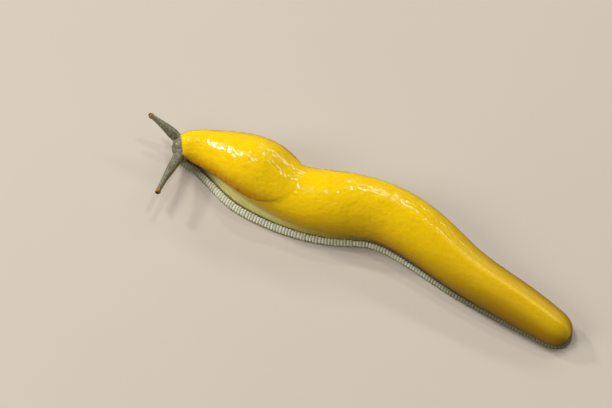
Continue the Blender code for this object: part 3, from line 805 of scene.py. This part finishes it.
def stretched(vector, factors):
    """A vector with each of its parts multiplied."""
    made = node(vector.id_data, "ShaderNodeVectorMath", {0: vector, 1: factors}, operation="MULTIPLY")
    return made.outputs[0]


def part(vector, axis):
    """One part of a vector, 0 to 2."""
    return node(vector.id_data, "ShaderNodeSeparateXYZ", {0: vector}).outputs[axis]


# %% [markdown]
# A tree is a recipe with named inputs. It is built once, run on an object, and its result is kept
# as a plain mesh, since only plain meshes are tied to the frame.

# %% Growing a mesh with a Geometry Nodes tree


def nodes_tree(name, inputs):
    """A Geometry Nodes tree with named inputs besides its geometry."""
    tree = bpy.data.node_groups.new(name, "GeometryNodeTree")
    tree.interface.new_socket("Geometry", in_out="INPUT", socket_type="NodeSocketGeometry")
    for title, kind in inputs.items():
        tree.interface.new_socket(title, in_out="INPUT", socket_type="NodeSocket" + kind)
    tree.interface.new_socket("Geometry", in_out="OUTPUT", socket_type="NodeSocketGeometry")
    return tree, tree.nodes.new("NodeGroupInput").outputs, tree.nodes.new("NodeGroupOutput").inputs


def named(tree, name, kind="FLOAT"):
    """Reads a value or vector that is stored on the points."""
    return node(tree, "GeometryNodeInputNamedAttribute", {"Name": name}, data_type=kind).outputs[0]


def finish_tree(tree, geometry, given, result):
    """Ends a tree: its instances become real faces and get the material."""
    real = node(tree, "GeometryNodeRealizeInstances", {0: geometry}).outputs[0]
    dressed = node(tree, "GeometryNodeSetMaterial", {"Geometry": real, "Material": given["Material"]})
    tree.links.new(dressed.outputs[0], result["Geometry"])


def grown(thing, tree, sizes):
    """Runs a tree on an object with its inputs set, and keeps the result as a plain mesh."""
    maker = thing.modifiers.new(tree.name, "NODES")
    maker.node_group = tree
    for item in tree.interface.items_tree:
        if item.item_type == "SOCKET" and item.in_out == "INPUT" and item.name in sizes:
            maker[item.identifier] = sizes[item.name]
    bpy.context.view_layer.update()
    mesh = evaluated(thing, thing.name)
    thing.modifiers.clear()
    return mesh


# %% [markdown]
# The tree adds up three patterns. A cell pattern gives the net of grooves, a broad noise the
# folds, and a fine noise the grain. Masks keep each to the places where it lies on the animal.

# %% The wrinkles as a tree
NET_STRETCH = (0.55, 1.0, 0.35)
GROOVE_SHARE = 0.16
MANTLE_FOLDS = 1.2
SOLE_FLAT, SOLE_FREE = 1.0 * MM, 2.5 * MM

skin_material = bpy.data.materials.new("slug_skin")
wrinkle, given, result = nodes_tree("wrinkle the skin", {
    "Net size": "Float", "Net depth": "Float", "Fold spacing": "Float", "Fold depth": "Float",
    "Grain size": "Float", "Grain height": "Float", "Material": "Material"})
flow = named(wrinkle, "flow", "FLOAT_VECTOR")
mantle_mask, band, girth_value, feeler_value, along = (
    named(wrinkle, name) for name in ("mantle", "band", "girth", "feeler", "along"))


def pattern(kind, size, inputs, **settings):
    """A texture for the wrinkles whose features are as wide as a named input says."""
    made = node(wrinkle, kind, inputs, **settings)
    wrinkle.links.new(calc("DIVIDE", 1.0, given[size]), made.inputs["Scale"])
    return made.outputs[0]


bare = times(calc("SUBTRACT", 1.0, mantle_mask), calc("SUBTRACT", 1.0, band))
bare = times(bare, span(feeler_value, 0.05, 0.2, 1.0, 0.25), span(along, 0.5, 0.8, 1.0, 0.45))
cells = {"Vector": stretched(flow, NET_STRETCH), "Randomness": 0.9}
net = pattern("ShaderNodeTexVoronoi", "Net size", cells, feature="DISTANCE_TO_EDGE")
net_lift = times(span(net, 0.0, GROOVE_SHARE, -1.0, 0.0), given["Net depth"])
net_lift = times(net_lift, span(girth_value, 0.4, 1.5, 1.0, 0.25))
fold = pattern("ShaderNodeTexNoise", "Fold spacing", {"Vector": flow, "Detail": 3.0})
fold_lift = times(calc("SUBTRACT", fold, 0.5), given["Fold depth"])
grain = pattern("ShaderNodeTexNoise", "Grain size", {"Vector": flow, "Detail": 1.0})
grain_lift = times(calc("SUBTRACT", grain, 0.5), given["Grain height"])
grained = calc("MAXIMUM", mantle_mask, times(bare, span(girth_value, 1.2, 1.6)))
lift = times(calc("ADD", net_lift, fold_lift), bare)
lift = calc("ADD", lift, times(grain_lift, grained))
lift = calc("ADD", lift, times(fold_lift, mantle_mask, MANTLE_FOLDS))
high = part(node(wrinkle, "GeometryNodeInputPosition").outputs[0], 2)
lift = times(lift, span(high, SOLE_FLAT, SOLE_FREE))
print("the wrinkle tree has", len(wrinkle.nodes), "nodes so far")

# %% [markdown]
# The sum of the patterns moves each point along its normal, in, where it is below zero, or out.
# The sizes are given here, so that they can be tried without a change to the tree.

# %% Lifting the skin
normal = node(wrinkle, "GeometryNodeInputNormal").outputs[0]
offset = node(wrinkle, "ShaderNodeVectorMath", {0: normal, "Scale": lift}, operation="SCALE").outputs[0]
moved = node(wrinkle, "GeometryNodeSetPosition", {"Geometry": given["Geometry"], "Offset": offset})
smooth = node(wrinkle, "GeometryNodeSetShadeSmooth", {"Geometry": moved.outputs[0]})
finish_tree(wrinkle, smooth.outputs[0], given, result)

skin.data = grown(skin, wrinkle, {
    "Net size": 1.5, "Net depth": 0.15 * MM, "Fold spacing": 5.0, "Fold depth": 0.45 * MM,
    "Grain size": 1.4, "Grain height": 0.3 * MM, "Material": skin_material})
skin.data.calc_loop_triangles()
print("skin", len(skin.data.polygons), "faces,", len(skin.data.loop_triangles), "triangles")

# %% [markdown]
# The fringe round the foot is a row of small upright pads, pale, with dark gaps between them. A
# line of points runs along the middle of the band, each with the slope of the band at that
# place. Geometry Nodes steps along the line at the pitch of the ribs and stands one pad at each
# step, leaning with the slope. The pads are lower round the front and towards the tail.

# %% The line that the ribs stand on
RIB_REACH, RIB_FOOT, RIB_INSET, RIB_TOP_GAP = 0.95, 0.5, 0.12, 0.55
FULL_FROM, FULL_RUN, FRONT_FULLNESS = 5.0, 12.0, 0.5
THIN_FROM, THIN_RUN, TAIL_FULLNESS = 88.0, 30.0, 0.5

s_edge, edge, outward, edge_length = foot_edge(1200)
slope = -outward * (fringe_run(s_edge) * RIB_REACH)[:, None]
slope[:, 2] = fringe_level(edge[:, 1]) - RIB_TOP_GAP
middle_line = edge - outward * RIB_INSET + slope / 2
middle_line[:, 2] = RIB_FOOT + slope[:, 2] / 2
count = len(middle_line)
links = [(i, (i + 1) % count) for i in range(count)]
guide_mesh = bpy.data.meshes.new("fringe_ribs")
guide_mesh.from_pydata([tuple(point * MM) for point in middle_line], links, [])
fullness = FRONT_FULLNESS + (1 - FRONT_FULLNESS) * ease((s_edge - FULL_FROM) / FULL_RUN)
fullness *= 1 - (1 - TAIL_FULLNESS) * ease((s_edge - THIN_FROM) / THIN_RUN)
store(guide_mesh, "slope", slope * MM, "FLOAT_VECTOR")
store(guide_mesh, "fullness", fullness)
store(guide_mesh, "along", s_edge / LENGTH)
ribs = in_scene("fringe_ribs", guide_mesh)
print("line of the ribs in mm", round(edge_length, 1))

# %% [markdown]
# The tree takes the pitch, width and thickness as inputs. One random value for each rib varies
# both its size and its tone.

# %% The ribs as a tree
rib_material = bpy.data.materials.new("fringe_ribs")
fringe, given, result = nodes_tree("stand ribs along the fringe", {
    "Pitch": "Float", "Width share": "Float", "Thickness": "Float", "Unevenness": "Float",
    "Seed": "Int", "Material": "Material"})
line = node(fringe, "GeometryNodeMeshToCurve", {0: given["Geometry"]}).outputs[0]
steps = node(fringe, "GeometryNodeResampleCurve", {"Curve": line, "Length": given["Pitch"]}, mode="LENGTH")
lean = named(fringe, "slope", "FLOAT_VECTOR")
tangent = node(fringe, "GeometryNodeInputTangent").outputs[0]
axes = {"primary_axis": "Z", "secondary_axis": "X"}
turned = node(fringe, "FunctionNodeAxesToRotation", {0: lean, 1: tangent}, **axes)
length = node(fringe, "ShaderNodeVectorMath", {0: lean}, operation="LENGTH").outputs["Value"]
chance = node(fringe, "FunctionNodeRandomValue", {"Seed": given["Seed"]}, data_type="FLOAT")
chance.inputs[2].default_value, chance.inputs[3].default_value = -1.0, 1.0
odd = calc("MULTIPLY_ADD", chance.outputs[1], given["Unevenness"], 1.0)
size = node(fringe, "ShaderNodeCombineXYZ", {
    0: times(given["Pitch"], given["Width share"], odd),
    1: times(given["Thickness"], named(fringe, "fullness")),
    2: times(length, odd)})

# %% [markdown]
# Each pad is a small cube, subdivided once, so that it costs only forty faces.

# %% Standing the ribs
PAD_SCALE = (1.2, 1.2, 1.1)

cube = node(fringe, "GeometryNodeMeshCube", {"Size": (1.0, 1.0, 1.0), "Vertices Z": 3}).outputs[0]
soft = node(fringe, "GeometryNodeSubdivisionSurface", {"Mesh": cube, "Level": 1, "Edge Crease": 0.35})
pad = node(fringe, "GeometryNodeTransform", {"Geometry": soft.outputs[0], "Scale": PAD_SCALE})
stood = node(fringe, "GeometryNodeInstanceOnPoints", {
    "Points": steps.outputs[0], "Instance": pad.outputs[0],
    "Rotation": turned.outputs[0], "Scale": size.outputs[0]})
toned = node(fringe, "GeometryNodeStoreNamedAttribute", {"Geometry": stood.outputs[0], "Name": "tone"},
             data_type="FLOAT", domain="INSTANCE")
fringe.links.new(chance.outputs[1], toned.inputs["Value"])
rounded = node(fringe, "GeometryNodeSetShadeSmooth", {"Geometry": toned.outputs[0]})
finish_tree(fringe, rounded.outputs[0], given, result)

ribs.data = grown(ribs, fringe, {
    "Pitch": 1.12 * MM, "Width share": 0.86, "Thickness": 0.9 * MM, "Unevenness": 0.12,
    "Seed": 4, "Material": rib_material})
print("fringe", len(ribs.data.polygons), "faces")

# %% [markdown]
# Each eye is a dark glossy bead set into the bulb at the feeler's tip. It is a ball of its own,
# mostly sunk, so only its dome shows.

# %% The eyes
EYE_SET, EYE_RADIUS = 0.66, 0.66

eye_material = bpy.data.materials.new("eye_gloss")
eyes = {}
for hand, (centre, gaze) in bulbs.items():
    eyes[hand] = ball("eye_dome_" + hand, centre + gaze * EYE_SET, EYE_RADIUS)
    eyes[hand].data.shade_smooth()
    eyes[hand].data.materials.append(eye_material)
    print("eye", hand, [round(c, 1) for c in centre])

# %% [markdown]
# Two effects are shared by several finishes, so each is a node group. The first gives the fine
# bumps of wet skin as a normal. The second gives uneven blotches for colour and gloss.

# %% Shared effects as node groups


def effect(name, inputs, output, kind):
    """A shader node group with named inputs and one output."""
    tree = bpy.data.node_groups.new(name, "ShaderNodeTree")
    for title, (socket, value) in inputs.items():
        made = tree.interface.new_socket(title, in_out="INPUT", socket_type="NodeSocket" + socket)
        if value is not None:
            made.default_value = value
    tree.interface.new_socket(output, in_out="OUTPUT", socket_type="NodeSocket" + kind)
    return tree, tree.nodes.new("NodeGroupInput").outputs, tree.nodes.new("NodeGroupOutput").inputs


bumps, given, result = effect("wet_bumps", {
    "Coordinates": ("Vector", None), "Size": ("Float", 0.0008), "Height": ("Float", 0.0001),
    "Strength": ("Float", 1.0)}, "Normal", "Vector")
place_and_scale = {"Vector": given["Coordinates"], "Scale": calc("DIVIDE", 1.0, given["Size"])}
coarse = node(bumps, "ShaderNodeTexNoise", {**place_and_scale, "Detail": 0.3})
cells = node(bumps, "ShaderNodeTexVoronoi", place_and_scale, feature="SMOOTH_F1")
mixed = calc("SUBTRACT", coarse.outputs[0], times(cells.outputs["Distance"], 0.6))
bump = node(bumps, "ShaderNodeBump", {
    "Strength": given["Strength"], "Distance": given["Height"], "Height": mixed})
bumps.links.new(bump.outputs[0], result["Normal"])

blotches, given, result = effect("blotches", {
    "Coordinates": ("Vector", None), "Size": ("Float", 0.004), "Low": ("Float", 0.4),
    "High": ("Float", 0.6)}, "Mask", "Float")
noise = node(blotches, "ShaderNodeTexNoise", {
    "Vector": given["Coordinates"], "Scale": calc("DIVIDE", 1.0, given["Size"]), "Detail": 4.0})
limits = node(blotches, "ShaderNodeMapRange", {0: noise.outputs[0], 1: given["Low"], 2: given["High"]})
blotches.links.new(limits.outputs[0], result["Mask"])
print("node groups", [group.name for group in bpy.data.node_groups])

# %% [markdown]
# These helpers keep the materials short: one reads a stored value, one blends two colours, two
# place the shared effects, and one sets what is the same all over.

# %% Starting a material


def attribute(tree, name):
    """Reads a value of the anatomy that is stored on the skin."""
    return node(tree, "ShaderNodeAttribute", attribute_name=name).outputs["Fac"]


def mix(share, a, b):
    """One colour run into another by a share, which is a socket."""
    made = node(share.id_data, "ShaderNodeMix", {0: share}, data_type="RGBA", blend_type="MIX")
    for key, value in ((6, a), (7, b)):
        if isinstance(value, bpy.types.NodeSocket):
            share.id_data.links.new(value, made.inputs[key])
        else:
            made.inputs[key].default_value = (*value, 1.0)
    return made.outputs[2]


def bumpy(where, size, height, strength):
    """The normal of fine wet bumps."""
    inputs = {"Coordinates": where, "Size": size, "Height": height, "Strength": strength}
    return node(where.id_data, "ShaderNodeGroup", inputs, node_tree=bumps).outputs[0]


def blotchy(where, size, low, high):
    """A mask of uneven blotches."""
    inputs = {"Coordinates": where, "Size": size, "Low": low, "High": high}
    return node(where.id_data, "ShaderNodeGroup", inputs, node_tree=blotches).outputs[0]


def start(material):
    """The material's tree, its shader and its object coordinates."""
    material.use_nodes = True
    tree = material.node_tree
    return tree, tree.nodes["Principled BSDF"], node(tree, "ShaderNodeTexCoord").outputs["Object"]


def settle(shader, settings):
    """Sets the shader's own sockets, for what is the same all over."""
    for name, value in settings.items():
        shader.inputs[name].default_value = value


# %% [markdown]
# The skin has one material, because one colour runs into the next. It is a clear strong yellow
# over the back, a deeper gold in places, with a few faint orange specks. Each later cell lays one
# more colour over it, by the anatomy that is stored on the skin.

# %% The yellow of the back
YELLOW = (0.93, 0.62, 0.001)
GOLD = (0.88, 0.53, 0.001)
# ORANGE paints the faint orange specks, and it is also used as painted shade down the sides and at the
# mantle's edge.
ORANGE = (0.52, 0.22, 0.001)

tree, shader, where = start(skin_material)
along, girth_value, mantle_mask, margin_value, shade_value = (
    attribute(tree, name) for name in ("along", "girth", "mantle", "margin", "shade"))
feeler_value, head_value, band_value, opening_shade_value = (
    attribute(tree, name) for name in ("feeler", "head", "band", "opening"))
flow = node(tree, "ShaderNodeAttribute", attribute_name="flow").outputs["Vector"]
distance, above_floor = part(flow, 0), part(flow, 2)
patches = blotchy(where, 9 * MM, 0.35, 0.65)
specks = blotchy(where, 0.8 * MM, 0.5, 0.62)
yellow = mix(times(patches, 0.5), YELLOW, GOLD)
yellow = mix(times(specks, 0.08), yellow, ORANGE)
print("the back is yellow", YELLOW, "to gold", GOLD)

# %% [markdown]
# Down the sides the yellow turns to orange brown, and towards the tail it grows browner still.
# Both are painted shade. A smooth ramp on the girth, from the groove to the back, blends each
# colour in.

# %% Painted shade on the sides and the tail
# Painted shade: darker gold and brown for the tail and the low sides.
SHADED_HIND_GOLD = (0.36, 0.19, 0.001)
SHADED_HIND_BROWN = (0.02, 0.012, 0.001)
SHADED_LOW_GOLD = (0.075, 0.036, 0.001)
HIND_SHADE_BEGINS = (0.5, 0.85)

# Painted shade: the yellow turns orange down the sides.
flesh_colour = mix(span(girth_value, 0.3, 1.5, 0.9, 0.0), yellow, ORANGE)
# Painted shade that grows towards the tail, most on the low sides.
hind = span(along, *HIND_SHADE_BEGINS)
flesh_colour = mix(times(hind, span(girth_value, 1.3, 2.0, 0.9, 0.2)), flesh_colour, SHADED_HIND_GOLD)
low_shade_colour = mix(hind, SHADED_LOW_GOLD, SHADED_HIND_BROWN)
flesh_colour = mix(span(girth_value, 0.2, 1.6, 1.0, 0.0), flesh_colour, low_shade_colour)
print("sides run to", SHADED_LOW_GOLD, "and at the tail to", SHADED_HIND_BROWN)

# %% [markdown]
# Low on the fore flank the skin is a dull olive, painted pale for the light and the wet sheen
# that it catches, and crossed by fine slanting grooves. A wave texture on a slanted copy of the
# flow map draws them, so they follow the bends of the body.

# %% The olive flank and its grooves
# Painted light: the olive is made pale to stand for the light and the wet sheen on the fore flank.
PAINTED_LIT_OLIVE = (0.95, 0.89, 0.34)
DARK_OLIVE = (0.42, 0.38, 0.12)
OLIVE_GOLD = (0.55, 0.43, 0.03)
SHADE_BROWN = (0.040, 0.026, 0.004)
SLANT_ALONG, SLANT_ROUND = 0.42, 5.4
OLIVE_TURNS_GOLD = (0.26, 0.38)
OLIVE_FADES = (0.34, 0.56)

across = calc("ADD", times(distance, SLANT_ALONG), times(girth_value, SLANT_ROUND))
slanted = node(tree, "ShaderNodeCombineXYZ", {0: across, 1: times(distance, 0.4)}).outputs[0]
waves = {"Vector": slanted, "Scale": 0.35, "Distortion": 4.5, "Detail": 2.0, "Detail Scale": 1.0}
grooves = node(tree, "ShaderNodeTexWave", waves, bands_direction="X").outputs["Fac"]
olive = mix(span(grooves, 0.02, 0.25, 0.3, 1.0), DARK_OLIVE, PAINTED_LIT_OLIVE)
olive = mix(span(along, *OLIVE_TURNS_GOLD), olive, OLIVE_GOLD)
low_and_fore = times(span(girth_value, 0.55, 1.25, 1.0, 0.0), span(along, *OLIVE_FADES, 0.9, 0.0))
flesh_colour = mix(low_and_fore, flesh_colour, olive)
flesh_colour = mix(times(shade_value, 0.9), flesh_colour, SHADE_BROWN)
print("the olive fades between", OLIVE_FADES, "of the length")

# %% [markdown]
# The mantle is the same yellow, but near its free edge it turns orange with darker streaks. The
# streaks are the skin's own, while the orange low on the sides is painted shade, and the flesh
# under the edge is brown with painted shade.

# %% The edge of the mantle
# Painted shade: the orange deepens towards the mantle's free edge, low on the sides.
SHADED_DEEP_ORANGE = (0.34, 0.13, 0.001)
STREAK_STRETCH = (0.9, 0.4, 0.0)
EDGE_SHADE_WIDTH = 10.0

streaks = node(tree, "ShaderNodeTexNoise", {
    "Vector": stretched(flow, STREAK_STRETCH), "Scale": 1.0, "Detail": 3.0}).outputs[0]
edge_shade_colour = mix(span(streaks, 0.3, 0.7), ORANGE, SHADED_DEEP_ORANGE)
# Painted shade near the edge, fading out higher up the back.
edge_shade_share = times(span(margin_value, 0.0, EDGE_SHADE_WIDTH, 1.0, 0.0), span(girth_value, 1.15, 1.65, 1.0, 0.0))
colour = mix(mantle_mask, flesh_colour, mix(edge_shade_share, yellow, edge_shade_colour))
print("the orange edge is", EDGE_SHADE_WIDTH, "mm wide")

# %% [markdown]
# The head and the feelers are slate grey, crowded with pale grains. The bulbs at the tips and
# The bulbs at the tips are amber, and the undersides of the feelers carry a
# painted amber glow of light shining through them. The grains come from a cell texture, and
# blotches make them uneven.

# %% The head and the feelers
SLATE = (0.145, 0.135, 0.08)
DARK_SLATE = (0.035, 0.035, 0.025)
PALE_SLATE = (0.44, 0.41, 0.27)
AMBER = (0.34, 0.17, 0.012)
GRAIN_FREQUENCY = 2700.0

grains = node(tree, "ShaderNodeTexVoronoi", {"Vector": where, "Scale": GRAIN_FREQUENCY}, feature="F1")
crowded = span(blotchy(where, 1.1 * MM, 0.35, 0.65), 0.0, 1.0, 0.25, 0.9)
grey = mix(times(span(grains.outputs["Distance"], 0.75, 0.1), crowded), SLATE, PALE_SLATE)
grey = mix(times(specks, 0.5), grey, DARK_SLATE)
facing = part(node(tree, "ShaderNodeNewGeometry").outputs["Normal"], 2)
# Painted light: an amber glow where the feelers face down, for light shining through them.
glow_beneath = times(span(facing, 0.6, -0.25), span(feeler_value, 0.1, 0.5, 0.0, 0.75))
grey = mix(glow_beneath, grey, AMBER)
grey = mix(span(feeler_value, 0.91, 0.97), grey, AMBER)
is_grey = calc("MAXIMUM", head_value, span(feeler_value, 0.05, 0.1))
is_grey = times(is_grey, calc("SUBTRACT", 1.0, mantle_mask))
colour = mix(is_grey, colour, grey)
print("grains about", round(1 / GRAIN_FREQUENCY / MM, 2), "mm apart")

# %% [markdown]
# The foot's rim is tan, with brown in the gaps between the ribs, and the sole is a dull tan.
# Inside the pore, the mouth and the pit the skin is painted with shade.

# %% The rim, the sole and the openings
LIP_BROWN = (0.27, 0.20, 0.075)
GAP_BROWN = (0.07, 0.05, 0.018)
SOLE = (0.42, 0.36, 0.16)

in_gap = times(span(above_floor, 0.5, 0.75), span(along, 0.02, 0.06, 0.35, 1.0))
colour = mix(times(band_value, 0.95), colour, mix(in_gap, LIP_BROWN, GAP_BROWN))
colour = mix(span(facing, -0.8, -0.95), colour, SOLE)
# Painted shade inside the pore, the mouth and the pit.
colour = mix(span(opening_shade_value, 0.1, 0.6), colour, SHADE_BROWN)
tree.links.new(colour, shader.inputs["Base Color"])
print("skin colour uses", len(tree.nodes), "nodes")

# %% [markdown]
# Slime lies unevenly: some patches shine like glass and others are only damp. The gloss varies
# with the blotches and fades towards the tail. Gentle bumps, strongest on the head and the
# mantle, break each highlight into grains. Steeper ones would only blur it. Light also sinks
# into the flesh a little.

# %% The gloss and the fine relief of the skin
SKIN_SHEEN = {
    "Coat Roughness": 0.05, "Coat IOR": 1.4, "Specular IOR Level": 0.4,
    "Subsurface Weight": 0.25, "Subsurface Radius": (1.0, 0.55, 0.12), "Subsurface Scale": 1.2 * MM}

relief = calc("ADD", span(mantle_mask, 0.0, 1.0, 0.03 * MM, 0.08 * MM), times(is_grey, 0.13 * MM))
tree.links.new(bumpy(where, 1.2 * MM, relief, 1.0), shader.inputs["Normal"])
damp = blotchy(where, 6 * MM, 0.3, 0.7)
wetness = calc("ADD", span(damp, 0.0, 1.0, 0.06, 0.15), times(is_grey, 0.16))
wetness = calc("ADD", wetness, span(along, 0.55, 0.8, 0.0, 0.26))
wetness = calc("ADD", wetness, times(band_value, 0.2))
tree.links.new(wetness, shader.inputs["Roughness"])
tree.links.new(span(damp, 0.0, 1.0, 0.05, 0.0), shader.inputs["Coat Weight"])
settle(shader, SKIN_SHEEN)
print("skin material has", len(tree.nodes), "nodes")

# %% [markdown]
# The ribs are pale and wet, every rib a little different. Round the front and towards the tail
# they are darker, which is painted shade.

# %% The finish of the ribs
PALE_RIB = (0.94, 0.94, 0.78)
DULL_RIB = (0.66, 0.66, 0.46)
# Painted shade for the ribs round the front and towards the tail.
SHADED_RIB = (0.17, 0.155, 0.07)
RIB_SHEEN = {
    "Coat Weight": 0.6, "Coat Roughness": 0.15,
    "Subsurface Weight": 0.15, "Subsurface Radius": (1.0, 0.8, 0.5), "Subsurface Scale": 0.6 * MM}

tree, shader, where = start(rib_material)
along = attribute(tree, "along")
colour = mix(span(attribute(tree, "tone"), -1.0, 1.0), PALE_RIB, DULL_RIB)
rib_specks = blotchy(where, 0.7 * MM, 0.45, 0.65)
colour = mix(times(rib_specks, 0.3), colour, DARK_OLIVE)
# Painted shade: the ribs darken round the front and towards the tail.
ends = calc("MAXIMUM", span(along, 0.6, 0.8, 0.0, 0.85), span(along, 0.06, 0.17, 0.75, 0.0))
colour = mix(ends, colour, SHADED_RIB)
tree.links.new(colour, shader.inputs["Base Color"])
tree.links.new(bumpy(where, 0.6 * MM, 0.1 * MM, 0.4), shader.inputs["Normal"])
tree.links.new(span(rib_specks, 0.0, 1.0, 0.25, 0.45), shader.inputs["Roughness"])
settle(shader, RIB_SHEEN)
print("rib material has", len(tree.nodes), "nodes")

# %% [markdown]
# The eye is nearly black with a brown cast, and as glossy as a drop of water.

# %% The finish of the eyes
EYE_BLACK = (0.008, 0.006, 0.005)
EYE_BROWN = (0.05, 0.025, 0.01)

tree, shader, where = start(eye_material)
eye_patch = blotchy(where, 0.6 * MM, 0.4, 0.7)
tree.links.new(mix(eye_patch, EYE_BLACK, EYE_BROWN), shader.inputs["Base Color"])
tree.links.new(span(eye_patch, 0.0, 1.0, 0.06, 0.14), shader.inputs["Roughness"])
settle(shader, {"Coat Weight": 1.0, "Coat Roughness": 0.03})
print("eye material has", len(tree.nodes), "nodes")

# %% [markdown]
# A plain pale floor lies under the animal. It isn't seen in the gloss, because a pale floor
# would turn the clear yellow milky.

# %% The floor
FLOOR_HALF = 3.0
FLOOR_DARK = (0.58, 0.52, 0.44)
FLOOR_LIGHT = (0.61, 0.55, 0.47)

corners = [(x * FLOOR_HALF, y * FLOOR_HALF, 0) for x, y in ((-1, -1), (1, -1), (1, 1), (-1, 1))]
floor_mesh = bpy.data.meshes.new("floor")
floor_mesh.from_pydata(corners, [], [(0, 1, 2, 3)])
floor = in_scene("floor", floor_mesh)
floor_material = bpy.data.materials.new("floor")
tree, shader, where = start(floor_material)
cloudy = blotchy(where, 200 * MM, 0.2, 0.8)
tree.links.new(mix(cloudy, FLOOR_DARK, FLOOR_LIGHT), shader.inputs["Base Color"])
settle(shader, {"Roughness": 0.8})
floor_mesh.materials.append(floor_material)
floor.visible_glossy = False
print("floor", 2 * FLOOR_HALF, "m wide")

# %% [markdown]
# Soft studio light finishes the scene. The key, the fill and the near side light only brighten,
# and don't show in the gloss. Five small lights set the broken glints along the mantle, and a
# long low strip on the far side draws the line of light along the keel. A row gives a light's
# direction, distance, size and power, and whether it shows in the gloss.

# %% The lights
WARM_WHITE = (1.0, 0.98, 0.95)
LIGHTS = (
    ("key", (-0.10, -0.50, 0.86), 3.0, 0.5, 20.0, False),
    ("hood", (-0.22, -0.60, 0.77), 3.0, 0.18, 8.5, True),
    ("front", (-0.12, -0.86, 0.49), 3.0, 0.28, 24.0, True),
    ("crown", (-0.04, -0.36, 0.93), 3.0, 0.15, 5.0, True),
    ("rear", (-0.42, 0.22, 0.88), 3.0, 0.2, 9.0, True),
    ("rear low", (-0.62, -0.15, 0.77), 3.0, 0.2, 9.0, True),
    ("far side", (-0.85, 0.10, 0.50), 3.0, 3.0, 22.0, True),
    ("fill", (-0.10, 0.50, 0.85), 3.6, 2.7, 5.4, False),
    ("near side", (0.55, -0.62, 0.50), 1.4, 0.7, 8.0, False),
)
STRIP_WIDTH = 0.19


def area_light(name, direction, distance, size, power, in_gloss):
    """A round light that shines on the animal from a direction."""
    data = bpy.data.lights.new(name, "AREA")
    data.shape, data.size, data.energy, data.color = "DISK", size, power, WARM_WHITE
    lamp = in_scene(name, data)
    towards = Vector(direction).normalized()
    lamp.location = towards * distance
    lamp.rotation_mode = "QUATERNION"
    lamp.rotation_quaternion = towards.to_track_quat("Z", "Y")
    lamp.visible_glossy = in_gloss
    return lamp


lamps = {row[0]: area_light(*row) for row in LIGHTS}
strip = lamps["far side"].data
strip.shape, strip.size_y = "RECTANGLE", STRIP_WIDTH
print("lights", list(lamps))

# %% [markdown]
# Beyond the floor the backdrop is plain. The camera sees it pale, while the skin gets less light
# from it, so that the shading stays strong. The plain view transform keeps the yellow clear.

# %% The backdrop
BACKDROP_COLOUR = (1.0, 0.97, 0.92, 1.0)
BACKDROP_LIGHT, BACKDROP_SEEN = 0.13, 0.6

world = bpy.data.worlds.new("studio")
bpy.context.scene.world = world
world.use_nodes = True
backdrop = world.node_tree.nodes["Background"]
backdrop.inputs["Color"].default_value = BACKDROP_COLOUR
to_camera = node(world.node_tree, "ShaderNodeLightPath").outputs["Is Camera Ray"]
strength = span(to_camera, 0.0, 1.0, BACKDROP_LIGHT, BACKDROP_SEEN)
world.node_tree.links.new(strength, backdrop.inputs["Strength"])
bpy.context.scene.view_settings.view_transform = "Standard"
print("backdrop", BACKDROP_SEEN, "to the camera and", BACKDROP_LIGHT, "as light")

# %% [markdown]
# Last, every piece is tied to the frame: the skin stands for all the nodes of flesh, the ribs
# ride with it, and each eye stands for its own node.

# %% Tying the pieces to the frame
flesh_nodes = [name for name in frame["nodes"] if not name.startswith(("eye_left", "eye_right"))]
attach(skin, "root")
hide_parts(*flesh_nodes)
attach(ribs, "root")
for hand, eye in eyes.items():
    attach(eye, "root")
    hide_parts("eye_" + hand)
